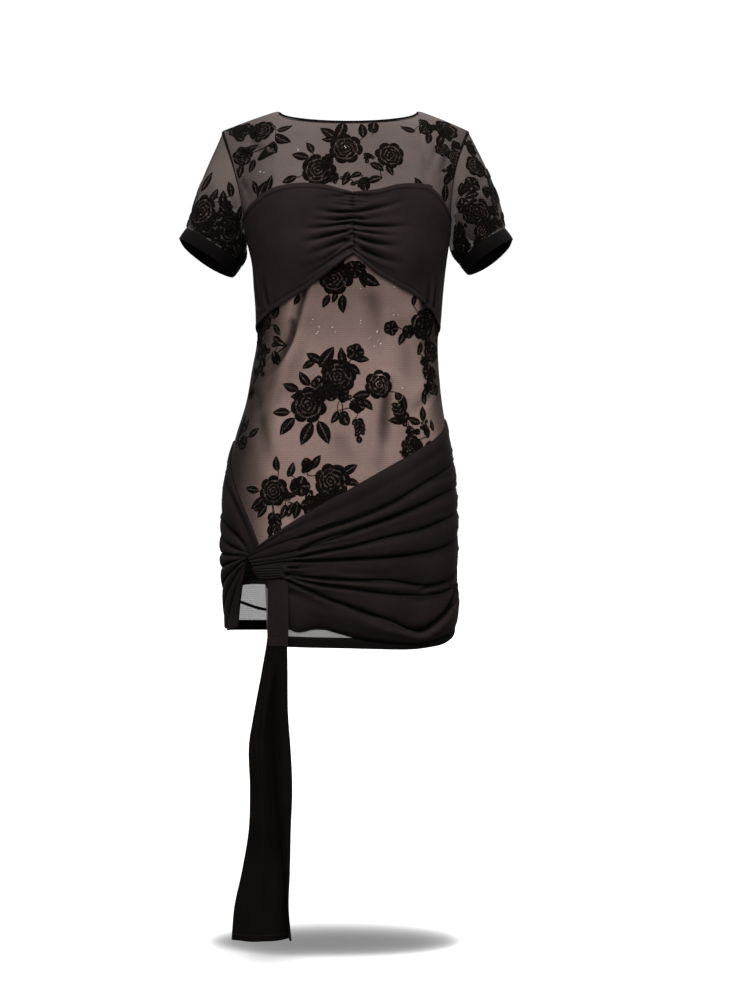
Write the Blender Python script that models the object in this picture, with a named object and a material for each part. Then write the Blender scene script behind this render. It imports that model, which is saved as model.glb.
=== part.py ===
"""A party dress of black flocked net with a ruched bust overlay and a wrap tied at the hip, hollow as worn.

Metres, +Z up. The dress faces -Y, and left and right are the viewer's, so the right side is +X. The origin
is the middle of the line between the two neck points, where the wearer's shoulders carry the dress.

A place on the dress is a column and a height. The column is 0 at the centre and -1 or 1 at a side seam. The
height is z up to the armpit, and above it the same scale goes on to the shoulder line at the top.
"""

import bpy
import bmesh
import numpy as np

FRONT = -1
BACK = 1

# Driving sizes of the body, in metres.
LEFT_SHOULDER = 0.1940      # shoulder tip from the centre line
RIGHT_SHOULDER = 0.1845
SHOULDER_DROP = 0.030       # shoulder tip below the neck point
HALF_NECK = 0.1085          # neck point from the centre line
NECK_REACH = {FRONT: 0.062, BACK: 0.050}
NECK_DROP = {FRONT: 0.031, BACK: 0.005}
NECK_COLUMN = 0.56          # the column that ends at the neck point
ARMPIT = -0.192
SHOULDER_LINE = -0.002      # height of the shoulder line on the height scale
SHOULDER_CURVE = 1.15       # exponent of the shoulder's fall, where 1 is a straight line
ARCH_POWER = 0.8            # exponent that flattens the armhole's bow and the neckline's dip
SCYE_BOW = {FRONT: 0.050, BACK: 0.044}      # how far an armhole seam bows forward or backward
LEFT_SCYE_INSET = 0.006     # how far the armhole seam curves in towards the chest
RIGHT_SCYE_INSET = 0.010
SCYE_INSET_HIGH = 1.4       # above 1, this moves the deepest inset up the armhole
SQUARENESS = 2.3            # exponent of each body section, where 2 is an ellipse

# Sections of the body, from hem to armpit.
SECTIONS = (
    ("height", "centre", "half_width", "front", "back"),
    (-0.840, -0.0110, 0.1740, 0.1040, 0.1020),
    (-0.790, -0.0120, 0.1760, 0.1050, 0.1050),
    (-0.730, -0.0135, 0.1775, 0.1060, 0.1120),
    (-0.660, -0.0140, 0.1785, 0.1070, 0.1170),
    (-0.600, -0.0135, 0.1770, 0.1060, 0.1160),
    (-0.550, -0.0125, 0.1725, 0.1030, 0.1130),
    (-0.500, -0.0105, 0.1620, 0.0990, 0.1070),
    (-0.450, -0.0070, 0.1500, 0.0950, 0.0980),
    (-0.400, -0.0050, 0.1430, 0.0900, 0.0880),
    (-0.350, -0.0015, 0.1380, 0.0880, 0.0810),
    (-0.320, 0.0000, 0.1390, 0.0920, 0.0820),
    (-0.275, 0.0005, 0.1420, 0.1040, 0.0870),
    (-0.235, 0.0010, 0.1460, 0.1120, 0.0910),
    (-0.192, -0.0010, 0.1545, 0.1080, 0.0930),
)

# Cloth and seams.
NET = 0.0010                # wall of the flocked net
JERSEY = 0.0014             # wall of the jersey
HEM_WALL = 0.0016           # wall of a turned net hem
SEAM_GAP = 0.0003
HEM_DEPTH = 0.016           # turned hem of the skirt
CUFF_DEPTH = 0.018          # turned hem of a sleeve
BINDING = 0.0026            # neck binding, across
BINDING_GAP = 0.0010        # and its distance from the net's edge
OVERLAY_LIFT = 0.0024       # inner face of the bust overlay above the inner face of the net
WRAP_LIFT = 0.0022          # inner face of the wrap above the inner face of the net
LOOP_LIFT = 0.0046          # inner face of the loop that holds the gathers
SASH_LIFT = 0.0058
TAB_LIFT = 0.0080

# Hem of the skirt.
HEM = (
    ("column", "front", "back"),
    (-1.00, -0.802, -0.802),
    (-0.50, -0.815, -0.808),
    (0.00, -0.819, -0.811),
    (0.50, -0.821, -0.808),
    (0.85, -0.808, -0.800),
    (1.00, -0.794, -0.794),
)
NET_CUT_COLUMN = -0.390     # the front net is cut away left of this column
NET_CUT_HEIGHT = -0.690     # and below this height, under the tie

# Sleeves: middle of the cuff's free edge, its half width and half depth, and its slope.
SLEEVES = (
    ("name", "side", "across", "height", "half_width", "half_depth", "slope_deg"),
    ("left", -1, -0.2180, -0.2240, 0.0500, 0.0560, 32.0),
    ("right", 1, 0.2170, -0.2220, 0.0430, 0.0600, 34.0),
)
SLEEVE_BACK_DROP = 0.009    # the back half of a cuff hangs this much lower
SLEEVE_ROUND = 0.006        # how far the sleeve's middle stands out from a straight line

# Edges of the bust overlay. The column is counted from the centre seam to the side seam.
BUST = (
    ("column", "left_top", "left_low", "right_top", "right_low"),
    (0.00, -0.1330, -0.2350, -0.1330, -0.2350),
    (0.12, -0.1215, -0.2602, -0.1300, -0.2590),
    (0.26, -0.1188, -0.2826, -0.1216, -0.2755),
    (0.44, -0.1267, -0.3008, -0.1225, -0.2913),
    (0.64, -0.1418, -0.3186, -0.1330, -0.3120),
    (0.84, -0.1565, -0.3325, -0.1560, -0.3335),
    (1.00, -0.1660, -0.3420, -0.1710, -0.3420),
)
BUST_SEAM_COLUMN = 0.022    # the centre seam lies a little right of the middle
BUST_SEAM_HALF_GAP = 0.0006     # in columns

# Ruched folds of a bust half: place of the trough on the seam (0 low, 1 top), depth, and reach in columns.
RUCHE = (
    ("place", "depth", "reach"),
    (0.10, 0.0036, 0.62),
    (0.26, 0.0046, 0.50),
    (0.42, 0.0044, 0.42),
    (0.58, 0.0040, 0.36),
    (0.74, 0.0032, 0.36),
    (0.90, 0.0018, 0.26),
)
RUCHE_WIDTH = 0.055         # half width of a ridge, as a share of the seam
RUCHE_FADE = 1.2            # exponent of a ridge's fading towards the side
RUCHE_RIDGE = 0.08          # a ridge lies this far above its trough, as a share of the seam

# Fold lines of the front wrap, lowest first: column where the line leaves the tie, then its height there
# and at each station to the right, up to the side seam.
WRAP_STATIONS = (-0.24, -0.07, 0.06, 0.23, 0.44, 0.64, 1.00)
WRAP_LINES = (
    ("start", "start_height", "heights"),
    (-0.412, -0.7182, (-0.7905, -0.7903, -0.8040, -0.8120, -0.8135, -0.8000, -0.7720)),
    (-0.430, -0.7100, (-0.7190, -0.7404, -0.7597, -0.7767, -0.7955, -0.7731, -0.7378)),
    (-0.462, -0.7010, (-0.7141, -0.7233, -0.7314, -0.7379, -0.7408, -0.7383, -0.7223)),
    (-0.495, -0.6935, (-0.7080, -0.7136, -0.7166, -0.7170, -0.7258, -0.7246, -0.6944)),
    (-0.516, -0.6865, (-0.6902, -0.6891, -0.6868, -0.6842, -0.6785, -0.6702, -0.6479)),
    (-0.512, -0.6815, (-0.6857, -0.6764, -0.6660, -0.6530, -0.6426, -0.6294, -0.6138)),
    (-0.495, -0.6760, (-0.6768, -0.6630, -0.6452, -0.6269, -0.6059, -0.5901, -0.5781)),
    (-0.470, -0.6700, (-0.6589, -0.6452, -0.6285, -0.6068, -0.5780, -0.5585, -0.5400)),
    (-0.432, -0.6635, (-0.6351, -0.6051, -0.5784, -0.5508, -0.5250, -0.5062, -0.4743)),
)
# Height of the crest between each fold line and the next, lowest first.
WRAP_CRESTS = (
    ("near_tie", "middle", "side"),
    (0.0004, 0.0070, 0.0080),
    (0.0005, 0.0030, 0.0030),
    (0.0005, 0.0025, 0.0020),
    (0.0005, 0.0035, 0.0040),
    (0.0006, 0.0035, 0.0050),
    (0.0006, 0.0030, 0.0035),
    (0.0006, 0.0035, 0.0040),
    (0.0004, 0.0015, 0.0025),
)
SWAG_SKEW = 1.7             # moves the lowest crest, the swag roll, up against its trough

# Fold lines of the side wrap, from its upper edge down to the free edge of the hanging end: column and
# height at the tie, half way and at the far end.
SIDE_LINES = (
    ("near", "near_height", "middle", "middle_height", "far", "far_height"),
    (-0.440, -0.6640, -0.640, -0.5880, -1.000, -0.5080),
    (-0.463, -0.6680, -0.660, -0.6020, -1.000, -0.5530),
    (-0.480, -0.6710, -0.670, -0.6460, -1.000, -0.6150),
    (-0.494, -0.6742, -0.700, -0.6670, -1.000, -0.6480),
    (-0.506, -0.6770, -0.720, -0.6820, -1.000, -0.6800),
    (-0.514, -0.6795, -0.720, -0.6950, -1.000, -0.7050),
    (-0.520, -0.6818, -0.710, -0.7110, -1.000, -0.7400),
    (-0.524, -0.6840, -0.700, -0.7290, -1.000, -0.7880),
    (-0.526, -0.6862, -0.655, -0.7400, -0.830, -0.7960),
    (-0.525, -0.6885, -0.585, -0.7350, -0.647, -0.7905),
)
SIDE_CRESTS = (
    ("near_tie", "middle", "side"),
    (0.0003, 0.0012, 0.0015),
    (0.0005, 0.0032, 0.0040),
    (0.0005, 0.0036, 0.0050),
    (0.0005, 0.0040, 0.0065),
    (0.0005, 0.0040, 0.0065),
    (0.0005, 0.0044, 0.0050),
    (0.0005, 0.0044, 0.0030),
    (0.0005, 0.0040, 0.0025),
    (0.0005, 0.0030, 0.0030),
)
SIDE_SEAM_LINES = 8         # this many fold lines of the side wrap reach the side seam

# Edges of the back wrap.
WRAP_BACK = (
    ("column", "top", "low"),
    (-1.00, -0.5080, -0.7520),
    (-0.60, -0.5120, -0.7350),
    (-0.20, -0.5100, -0.7420),
    (0.20, -0.5030, -0.7540),
    (0.60, -0.4900, -0.7660),
    (1.00, -0.4743, -0.7720),
)
SEAM_FOLD_REACH = 0.45      # folds that cross a side seam fade out over this many columns of the back
SEAM_FOLD_FADE = 1.5        # exponent of their fading

# The loop over the gathers: column, lower and upper height, left to right.
LOOP = (
    ("low_column", "low_height", "top_column", "top_height"),
    (-0.417, -0.7182, -0.476, -0.7000),
    (-0.366, -0.7172, -0.410, -0.6985),
    (-0.316, -0.7150, -0.335, -0.6975),
    (-0.268, -0.7122, -0.258, -0.6975),
)
LOOP_BULGE = 0.0030         # how far the loop stands out half way up, at its left end
LOOP_RIGHT_BULGE = 0.0006

# The short end of the tie: height, left and right place across.
TAB = (
    ("height", "left", "right"),
    (-0.7195, -0.1195, -0.0890),
    (-0.7600, -0.1195, -0.0880),
    (-0.7900, -0.1200, -0.0880),
    (-0.8160, -0.1205, -0.0890),
)

# The long end of the tie: height, left edge, deep fold and right edge across.
SASH = (
    ("height", "left", "fold", "right"),
    (-0.7200, -0.1190, -0.1040, -0.0895),
    (-0.8000, -0.1200, -0.1060, -0.0900),
    (-0.8520, -0.1285, -0.1086, -0.0895),
    (-0.9230, -0.1415, -0.1120, -0.0886),
    (-0.9600, -0.1475, -0.1115, -0.0858),
    (-1.0300, -0.1464, -0.1090, -0.0826),
    (-1.0900, -0.1482, -0.1035, -0.0848),
    (-1.1520, -0.1583, -0.0945, -0.0862),
    (-1.2080, -0.1701, -0.0910, -0.0880),
    (-1.2560, -0.1740, -0.0890, -0.0840),
)
SASH_FREE = -0.835          # below this height the long end hangs free of the skirt
SASH_MIDDLE = -0.1050       # where the long end hangs from the tie, across
SASH_FLAT = 0.85            # share of the skirt's curve that the free part loses
SASH_RAMP = 0.100           # over this height
SASH_BULGE = 0.009          # how far the wide leaf swells forward
SASH_NARROW_BULGE = 0.0045
SASH_FOLD_DEPTH = 0.013     # how deep the fold between its leaves is

# Grid steps of the solids.
OUTER_STEPS = 4             # columns from a side seam to a neck point
FRONT_NECK_STEPS = (2, 11)  # columns from the left neck point to the cut, and from there to the right one
BACK_NECK_STEPS = 11
HIP_ROWS = 4
TORSO_ROWS = 14
CHEST_ROWS = 8
SLEEVE_STEPS = 6
ARMHOLE_STEPS = 12
BUST_ACROSS = 12
BUST_CROWDING = 1.25        # exponent that crowds the columns towards the centre seam
BUST_UP = 18
WRAP_ACROSS = 22
WRAP_CROWDING = 1.15        # exponent that crowds the columns towards the tie
STEPS_PER_FOLD = 3
SIDE_ACROSS = 8
WRAP_BACK_ACROSS = 18
WRAP_BACK_UP = 12
LOOP_ACROSS = 8
LOOP_UP = 6
TAB_ACROSS = 4
TAB_DOWN = 6
SASH_DOWN = 18
SASH_WIDE_STEPS = 5
SASH_NARROW_STEPS = 3
TINY = 1e-4                 # step for slopes, in columns and metres
SHARP_ANGLE = 50            # edges that turn more than this, in degrees, are drawn sharp

# Materials: colour, roughness and opacity.
NET_LOOK = ((0.055, 0.040, 0.036), 0.85, 0.8)
SHEER_LOOK = ((0.040, 0.036, 0.036), 0.85, 0.6)
JERSEY_LOOK = ((0.016, 0.013, 0.013), 0.75, 1.0)
HEM_LOOK = ((0.010, 0.008, 0.008), 0.85, 1.0)


def column_of(table, name):
    """The named column of a table, whose first row holds the names."""
    place = table[0].index(name)
    return np.array([row[place] for row in table[1:]])


def read_table(table, key, at, names):
    """Smooth curves through the named columns over the key column, read at these places."""
    places = column_of(table, key)
    order = np.argsort(places)
    return [smooth(at, places[order], column_of(table, name)[order]) for name in names]


def smooth(x, places, values):
    """A smooth curve through the values at these places, read at x."""
    places = np.asarray(places, float)
    values = np.asarray(values, float)
    slopes = np.gradient(values, places)
    i = np.clip(np.searchsorted(places, x) - 1, 0, len(places) - 2)
    run = places[i + 1] - places[i]
    t = np.clip((x - places[i]) / run, 0, 1)
    rise = values[i] * (1 + 2 * t) * (1 - t) ** 2 + values[i + 1] * t * t * (3 - 2 * t)
    return rise + run * t * (1 - t) * (slopes[i] * (1 - t) - slopes[i + 1] * t)


def shoulder_or_neck(side, column):
    """Where each column ends at the top: on the shoulder line, or on the neckline between the neck points."""
    out = np.sign(column)
    share = np.abs(column)
    turn = np.clip(share / NECK_COLUMN, 0, 1) * np.pi / 2
    along = np.clip((share - NECK_COLUMN) / (1 - NECK_COLUMN), 0, 1)
    tip = np.where(column < 0, LEFT_SHOULDER, RIGHT_SHOULDER)
    at_neck = share < NECK_COLUMN
    x = np.where(at_neck, HALF_NECK * np.sin(turn), HALF_NECK + (tip - HALF_NECK) * along)
    y = np.where(at_neck, NECK_REACH[side] * np.cos(turn), 0)
    drop = NECK_DROP[side] * np.maximum(np.cos(turn), 0) ** ARCH_POWER
    z = np.where(at_neck, -drop, -SHOULDER_DROP * along ** SHOULDER_CURVE)
    return out * x, y, z


def body(side, column, height):
    """Points of the inner face of the net."""
    column, height = np.broadcast_arrays(np.asarray(column, float), np.asarray(height, float))
    low = np.minimum(height, ARMPIT)
    centre, half_width, front, back = read_table(SECTIONS, "height", low, SECTIONS[0][1:])
    share = np.clip(np.abs(column), 0, 1)
    turn = share * np.pi / 2
    x = centre + np.sign(column) * half_width * np.sin(turn) ** (2 / SQUARENESS)
    y = (front if side == FRONT else back) * np.maximum(np.cos(turn), 0) ** (2 / SQUARENESS)
    up = np.clip((height - ARMPIT) / (SHOULDER_LINE - ARMPIT), 0, 1)
    top_x, top_y, top_z = shoulder_or_neck(side, column)
    ease = (up * up * (3 - 2 * up) + up) / 2
    power = 1 + np.clip(share / NECK_COLUMN, 0, 1) ** 2
    fall = np.maximum(1 - up ** 2, 0) ** (1 / power)
    arch = np.maximum(np.sin(np.pi * up), 0) ** ARCH_POWER
    inset = np.where(column < 0, LEFT_SCYE_INSET, RIGHT_SCYE_INSET)
    inset = inset * share ** 3 * np.maximum(np.sin(np.pi * up ** SCYE_INSET_HIGH), 0)
    x = x + (top_x - x) * ease - np.sign(column) * inset
    y = top_y + (y - top_y) * fall + SCYE_BOW[side] * share ** 4 * arch
    z = low + (top_z - low) * up
    return np.stack([x, side * y, z], axis=-1)


def unit(vectors):
    length = np.linalg.norm(vectors, axis=-1, keepdims=True)
    return vectors / np.maximum(length, 1e-12)


def outward(side, column, height):
    """Unit normals of the body, pointing out. At a side seam they lie in the plane of the seam."""
    column, height = np.broadcast_arrays(np.asarray(column, float), np.asarray(height, float))
    reach = 1 - TINY
    column = np.clip(column, -reach, reach)
    across = body(side, column + TINY, height) - body(side, column - TINY, height)
    low = np.minimum(height, SHOULDER_LINE - 2 * TINY)
    upward = body(side, column, low + TINY) - body(side, column, low - TINY)
    normal = np.cross(across, upward) * -side
    at_seam = (np.abs(column) > 1 - 2 * TINY) & (height <= ARMPIT)
    normal[..., 1] = np.where(at_seam, 0, normal[..., 1])
    return unit(normal)


def cloth(side, column, height, lift=0.0):
    """Points of a layer that lies this far out from the body, parted from the other half at the side seam."""
    points = body(side, column, height)
    points = points + outward(side, column, height) * np.asarray(lift)[..., None]
    points[..., 1] += side * SEAM_GAP / 2
    return points


def column_at(x, height):
    """The front column that lies this far across, at this height."""
    centre, half_width = read_table(SECTIONS, "height", height, ("centre", "half_width"))
    share = np.clip(np.abs(x - centre) / half_width, 0, 1)
    return np.sign(x - centre) * np.arcsin(share ** (SQUARENESS / 2)) * 2 / np.pi


def hem_height(side, column):
    return read_table(HEM, "column", column, ["front" if side == FRONT else "back"])[0]


def material(name, look):
    colour, roughness, alpha = look
    made = bpy.data.materials.new(name)
    made.use_nodes = True
    shader = made.node_tree.nodes["Principled BSDF"]
    shader.inputs["Base Color"].default_value = (*colour, 1)
    shader.inputs["Roughness"].default_value = roughness
    shader.inputs["Metallic"].default_value = 0
    shader.inputs["Alpha"].default_value = alpha
    made.diffuse_color = (*colour, alpha)
    return made


def wall(name, inner, outer, finish, round_wise=False, present=None):
    """A closed wall between two grids of points. present tells which cells of the grid are cloth."""
    rows, columns = inner.shape[:2]
    across = columns if round_wise else columns - 1
    if present is None:
        present = np.ones((rows - 1, across), bool)
    mesh = bmesh.new()
    made = {}

    def vertex(face, row, column):
        key = (face, row, column % columns)
        if key not in made:
            grid = outer if face else inner
            made[key] = mesh.verts.new(grid[row, column % columns])
        return made[key]

    def is_present(row, column):
        if round_wise:
            column %= across
        return 0 <= row < rows - 1 and 0 <= column < across and present[row, column]

    for row in range(rows - 1):
        for column in range(across):
            if not present[row, column]:
                continue
            corners = ((row, column), (row, column + 1), (row + 1, column + 1), (row + 1, column))
            mesh.faces.new([vertex(1, *corner) for corner in corners])
            mesh.faces.new([vertex(0, *corner) for corner in reversed(corners)])
            beyond = ((row - 1, column), (row, column + 1), (row + 1, column), (row, column - 1))
            for k, neighbour in enumerate(beyond):
                if is_present(*neighbour):
                    continue
                a, b = corners[k], corners[(k + 1) % 4]
                mesh.faces.new([vertex(1, *b), vertex(1, *a), vertex(0, *a), vertex(0, *b)])
    if mesh.calc_volume(signed=True) < 0:
        bmesh.ops.reverse_faces(mesh, faces=mesh.faces)
    return as_object(name, mesh, finish)


def as_object(name, mesh, finish):
    data = bpy.data.meshes.new(name)
    mesh.to_mesh(data)
    mesh.free()
    data.materials.append(finish)
    data.shade_smooth()
    data.set_sharp_from_angle(angle=np.radians(SHARP_ANGLE))
    made = bpy.data.objects.new(name, data)
    bpy.context.scene.collection.objects.link(made)
    return made


def shell(name, side, column, height, lift, thickness, finish, present=None):
    """A wall that lies on the body, from its column and height at each grid point."""
    inner = cloth(side, column, height, lift)
    outer = cloth(side, column, height, np.asarray(lift) + thickness)
    return wall(name, inner, outer, finish, present=present)


def chest_heights():
    """Heights from armpit to shoulder, closer together where the cloth turns over the shoulder."""
    t = np.linspace(0, 1, CHEST_ROWS + 1)[1:]
    return ARMPIT + (SHOULDER_LINE - ARMPIT) * np.sin(t * np.pi / 2)


def net_columns(side):
    """The columns of a net panel, with one at each neck point and one at the edge of the cut."""
    if side == FRONT:
        places = (-1, -NECK_COLUMN, NET_CUT_COLUMN, NECK_COLUMN, 1)
        steps = (OUTER_STEPS, *FRONT_NECK_STEPS, OUTER_STEPS)
    else:
        places = (-1, -NECK_COLUMN, NECK_COLUMN, 1)
        steps = (OUTER_STEPS, BACK_NECK_STEPS, OUTER_STEPS)
    runs = [np.linspace(places[k], places[k + 1], steps[k] + 1)[1:] for k in range(len(steps))]
    return np.concatenate([[-1.0], *runs])


def net_front(finish):
    """The front panel, with its lower left corner cut away under the tie."""
    columns = net_columns(FRONT)
    cut_cells = OUTER_STEPS + FRONT_NECK_STEPS[0]
    foot = hem_height(FRONT, columns) + HEM_DEPTH + SEAM_GAP
    hip = [foot + (NET_CUT_HEIGHT - foot) * t for t in np.linspace(0, 1, HIP_ROWS + 1)]
    torso = [np.full_like(columns, h) for h in np.linspace(NET_CUT_HEIGHT, ARMPIT, TORSO_ROWS + 1)[1:]]
    chest = [np.full_like(columns, h) for h in chest_heights()]
    height = np.array(hip + torso + chest)
    column = np.broadcast_to(columns, height.shape)
    present = np.ones((height.shape[0] - 1, len(columns) - 1), bool)
    present[:HIP_ROWS, :cut_cells] = False
    return shell("mesh_front", FRONT, column, height, 0.0, NET, finish, present)


def net_back(finish):
    columns = net_columns(BACK)
    foot = hem_height(BACK, columns) + HEM_DEPTH + SEAM_GAP
    rows = HIP_ROWS + TORSO_ROWS
    torso = [foot + (ARMPIT - foot) * t for t in np.linspace(0, 1, rows + 1)]
    chest = [np.full_like(columns, h) for h in chest_heights()]
    height = np.array(torso + chest)
    column = np.broadcast_to(columns, height.shape)
    return shell("mesh_back", BACK, column, height, 0.0, NET, finish)


def hem_band(name, side, first_column, finish):
    columns = net_columns(side)
    columns = columns[columns > first_column - TINY]
    foot = hem_height(side, columns)
    height = np.array([foot, foot + HEM_DEPTH])
    column = np.broadcast_to(columns, height.shape)
    return shell(name, side, column, height, (NET - HEM_WALL) / 2, HEM_WALL, finish)


def armhole(side_sign):
    """The armhole seam as a loop of points and normals: up the front from the armpit, then down the back."""
    share = np.linspace(0, 1, ARMHOLE_STEPS + 1)
    heights = ARMPIT + (SHOULDER_LINE - ARMPIT) * (1 - np.cos(share * np.pi)) / 2
    front = body(FRONT, side_sign, heights)
    back = body(BACK, side_sign, heights)
    front_out = outward(FRONT, side_sign, heights)
    back_out = outward(BACK, side_sign, heights)
    for ends in (0, -1):
        joined = front_out[ends] + back_out[ends]
        front_out[ends] = joined / np.linalg.norm(joined)
    points = np.concatenate([front, back[-2:0:-1]])
    normals = np.concatenate([front_out, back_out[-2:0:-1]])
    turns = np.concatenate([share, 2 - share[-2:0:-1]]) * np.pi
    return points, normals, turns


def sleeve_grid(row):
    """Inner points and normals of a sleeve, the cuff's free edge, and the way down the arm."""
    _, side_sign, across, height, half_width, half_depth, slope = row
    start, start_normal, turns = armhole(side_sign)
    slope = np.radians(slope)
    outer_end = np.array([side_sign * np.cos(slope), 0, np.sin(slope)])
    down = np.array([side_sign * np.sin(slope), 0, -np.cos(slope)])
    middle = np.array([across, 0, height])
    over = -np.cos(turns)
    forward = -np.sin(turns)
    end = middle + half_width * over[:, None] * outer_end
    end = end + half_depth * forward[:, None] * np.array([0, 1, 0])
    end = end + SLEEVE_BACK_DROP * np.maximum(forward, 0)[:, None] * down
    round_out = over[:, None] * outer_end * half_depth + forward[:, None] * np.array([0, 1, 0]) * half_width
    end_normal = unit(round_out)
    tangent = unit(np.roll(start, -1, axis=0) - np.roll(start, 1, axis=0))
    seam_out = unit(np.cross(start_normal, tangent)) * side_sign
    if np.mean(seam_out[:, 0]) * side_sign < 0:
        seam_out = -seam_out
    start = start + seam_out * SEAM_GAP
    hem = end - down * (CUFF_DEPTH + SEAM_GAP)
    share = np.linspace(0, 1, SLEEVE_STEPS + 1)[:, None, None]
    points = start + (hem - start) * share
    normals = unit(start_normal + (end_normal - start_normal) * share)
    points = points + normals * SLEEVE_ROUND * np.sin(np.pi * share) * share
    return points, normals, end, down


def sleeve(row, net, trim):
    """The sleeve tube, and the turned hem at its end as a second tube."""
    name = row[0]
    points, normals, end, down = sleeve_grid(row)
    wall(f"sleeve_{name}", points, points + normals * NET, net, round_wise=True)
    inner = np.array([end - down * CUFF_DEPTH, end]) - normals[-1] * (HEM_WALL - NET) / 2
    wall(f"cuff_{name}", inner, inner + normals[-1] * HEM_WALL, trim, round_wise=True)


def neck_binding(finish):
    """A square cord round the neckline, just off the net's edge."""
    front, back = net_columns(FRONT), net_columns(BACK)
    front = front[np.abs(front) < NECK_COLUMN + TINY]
    back = back[np.abs(back) < NECK_COLUMN + TINY]
    parts = ((FRONT, front), (BACK, back[-2:0:-1]))
    path = np.concatenate([body(side, columns, SHOULDER_LINE) for side, columns in parts])
    beside = np.concatenate([outward(side, columns, SHOULDER_LINE) for side, columns in parts])
    tangent = unit(np.roll(path, -1, axis=0) - np.roll(path, 1, axis=0))
    lean = unit(np.cross(beside, tangent))
    centre = path + lean * (BINDING / 2 + BINDING_GAP) + beside * NET / 2
    half = BINDING / 2
    inner = np.array([centre - lean * half + beside * half, centre + lean * half + beside * half])
    outer = np.array([centre - lean * half - beside * half, centre + lean * half - beside * half])
    wall("neck_binding", inner, outer, finish, round_wise=True)


def bust_half(name, sign, finish):
    """One half of the ruched overlay, from the centre seam to the side seam."""
    share = np.linspace(0, 1, BUST_ACROSS + 1) ** BUST_CROWDING
    up = np.linspace(0, 1, BUST_UP + 1)[:, None]
    top, low = read_table(BUST, "column", share, (f"{name}_top", f"{name}_low"))
    start = BUST_SEAM_COLUMN + sign * BUST_SEAM_HALF_GAP
    column = start + (sign - start) * share + 0 * up
    height = low + (top - low) * up
    lift = OVERLAY_LIFT + ruching(share, up)
    shell(f"bust_{name}", FRONT, column, height, lift, JERSEY, finish)


def ruching(share, up):
    """Lift of the overlay: troughs leave the centre seam and fade towards the side."""
    lift = 0 * share + 0 * up
    for place, depth, reach in RUCHE[1:]:
        fade = np.clip(1 - share / reach, 0, 1) ** RUCHE_FADE
        ridge = np.exp(-((up - place - RUCHE_RIDGE) / RUCHE_WIDTH) ** 2)
        lift = lift + depth * fade * ridge
    return lift


def crest(table, line, share, skew_lowest=1.0):
    """Lift between fold lines. line counts fold lines, and share runs from the tie (0) to the side (1)."""
    sizes = np.array(table[1:])
    band = np.clip(np.floor(line).astype(int), 0, len(sizes) - 1)
    size = blend(sizes[band], share)
    part = line - band
    part = np.where(band == 0, part ** skew_lowest, part)
    return size * (1 - np.cos(2 * np.pi * part)) / 2


def blend(amounts, share):
    """The near, middle and side amounts blended along a fold."""
    near, middle, far = amounts[..., 0], amounts[..., 1], amounts[..., 2]
    first = np.clip(share * 2, 0, 1)
    second = np.clip(share * 2 - 1, 0, 1)
    first = first * first * (3 - 2 * first)
    second = second * second * (3 - 2 * second)
    return near + (middle - near) * first + (far - middle) * second


def across_lines(values, line):
    return smooth(line, np.arange(len(values)), values)


def wrap_front_grid(lines, across):
    """Column and height of each point of the front wrap, for fold line numbers and shares across."""
    line, share = np.meshgrid(lines, across, indexing="ij")
    start = across_lines(column_of(WRAP_LINES, "start"), line)
    column = start + (1 - start) * share
    at_stations = column_of(WRAP_LINES, "heights").T
    heights = [across_lines(values, line) for values in (column_of(WRAP_LINES, "start_height"), *at_stations)]
    height = np.zeros_like(line)
    for i in range(line.shape[0]):
        places = [start[i, 0], *WRAP_STATIONS]
        height[i] = smooth(column[i], places, [values[i, 0] for values in heights])
    return line, share, column, height


def wrap_front(finish):
    bands = len(WRAP_CRESTS) - 1
    lines = np.linspace(0, bands, bands * STEPS_PER_FOLD + 1)
    across = np.linspace(0, 1, WRAP_ACROSS + 1) ** WRAP_CROWDING
    line, share, column, height = wrap_front_grid(lines, across)
    lift = WRAP_LIFT + crest(WRAP_CRESTS, line, share, SWAG_SKEW)
    shell("wrap_front", FRONT, column, height, lift, JERSEY, finish)


def wrap_side(finish):
    """The side wrap and its hanging end, whose folds all leave the tie."""
    bands = len(SIDE_CRESTS) - 1
    lines = np.linspace(0, bands, bands * STEPS_PER_FOLD + 1)[:, None]
    share = np.linspace(0, 1, SIDE_ACROSS + 1)[None, :]
    places = [across_lines(column_of(SIDE_LINES, name), lines) for name in SIDE_LINES[0]]
    near, near_height, middle, middle_height, far, far_height = places
    column = through(near, middle, np.maximum(far, -1), share)
    height = through(near_height, middle_height, far_height, share)
    lift = WRAP_LIFT + crest(SIDE_CRESTS, lines + 0 * share, share + 0 * lines)
    shell("wrap_side", FRONT, np.clip(column, -1, 1), height, lift, JERSEY, finish)


def through(start, middle, end, share):
    """A curve that starts at one value, passes the middle one half way, and ends at the last."""
    turn = 2 * middle - (start + end) / 2
    return start * (1 - share) ** 2 + 2 * turn * share * (1 - share) + end * share ** 2


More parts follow.
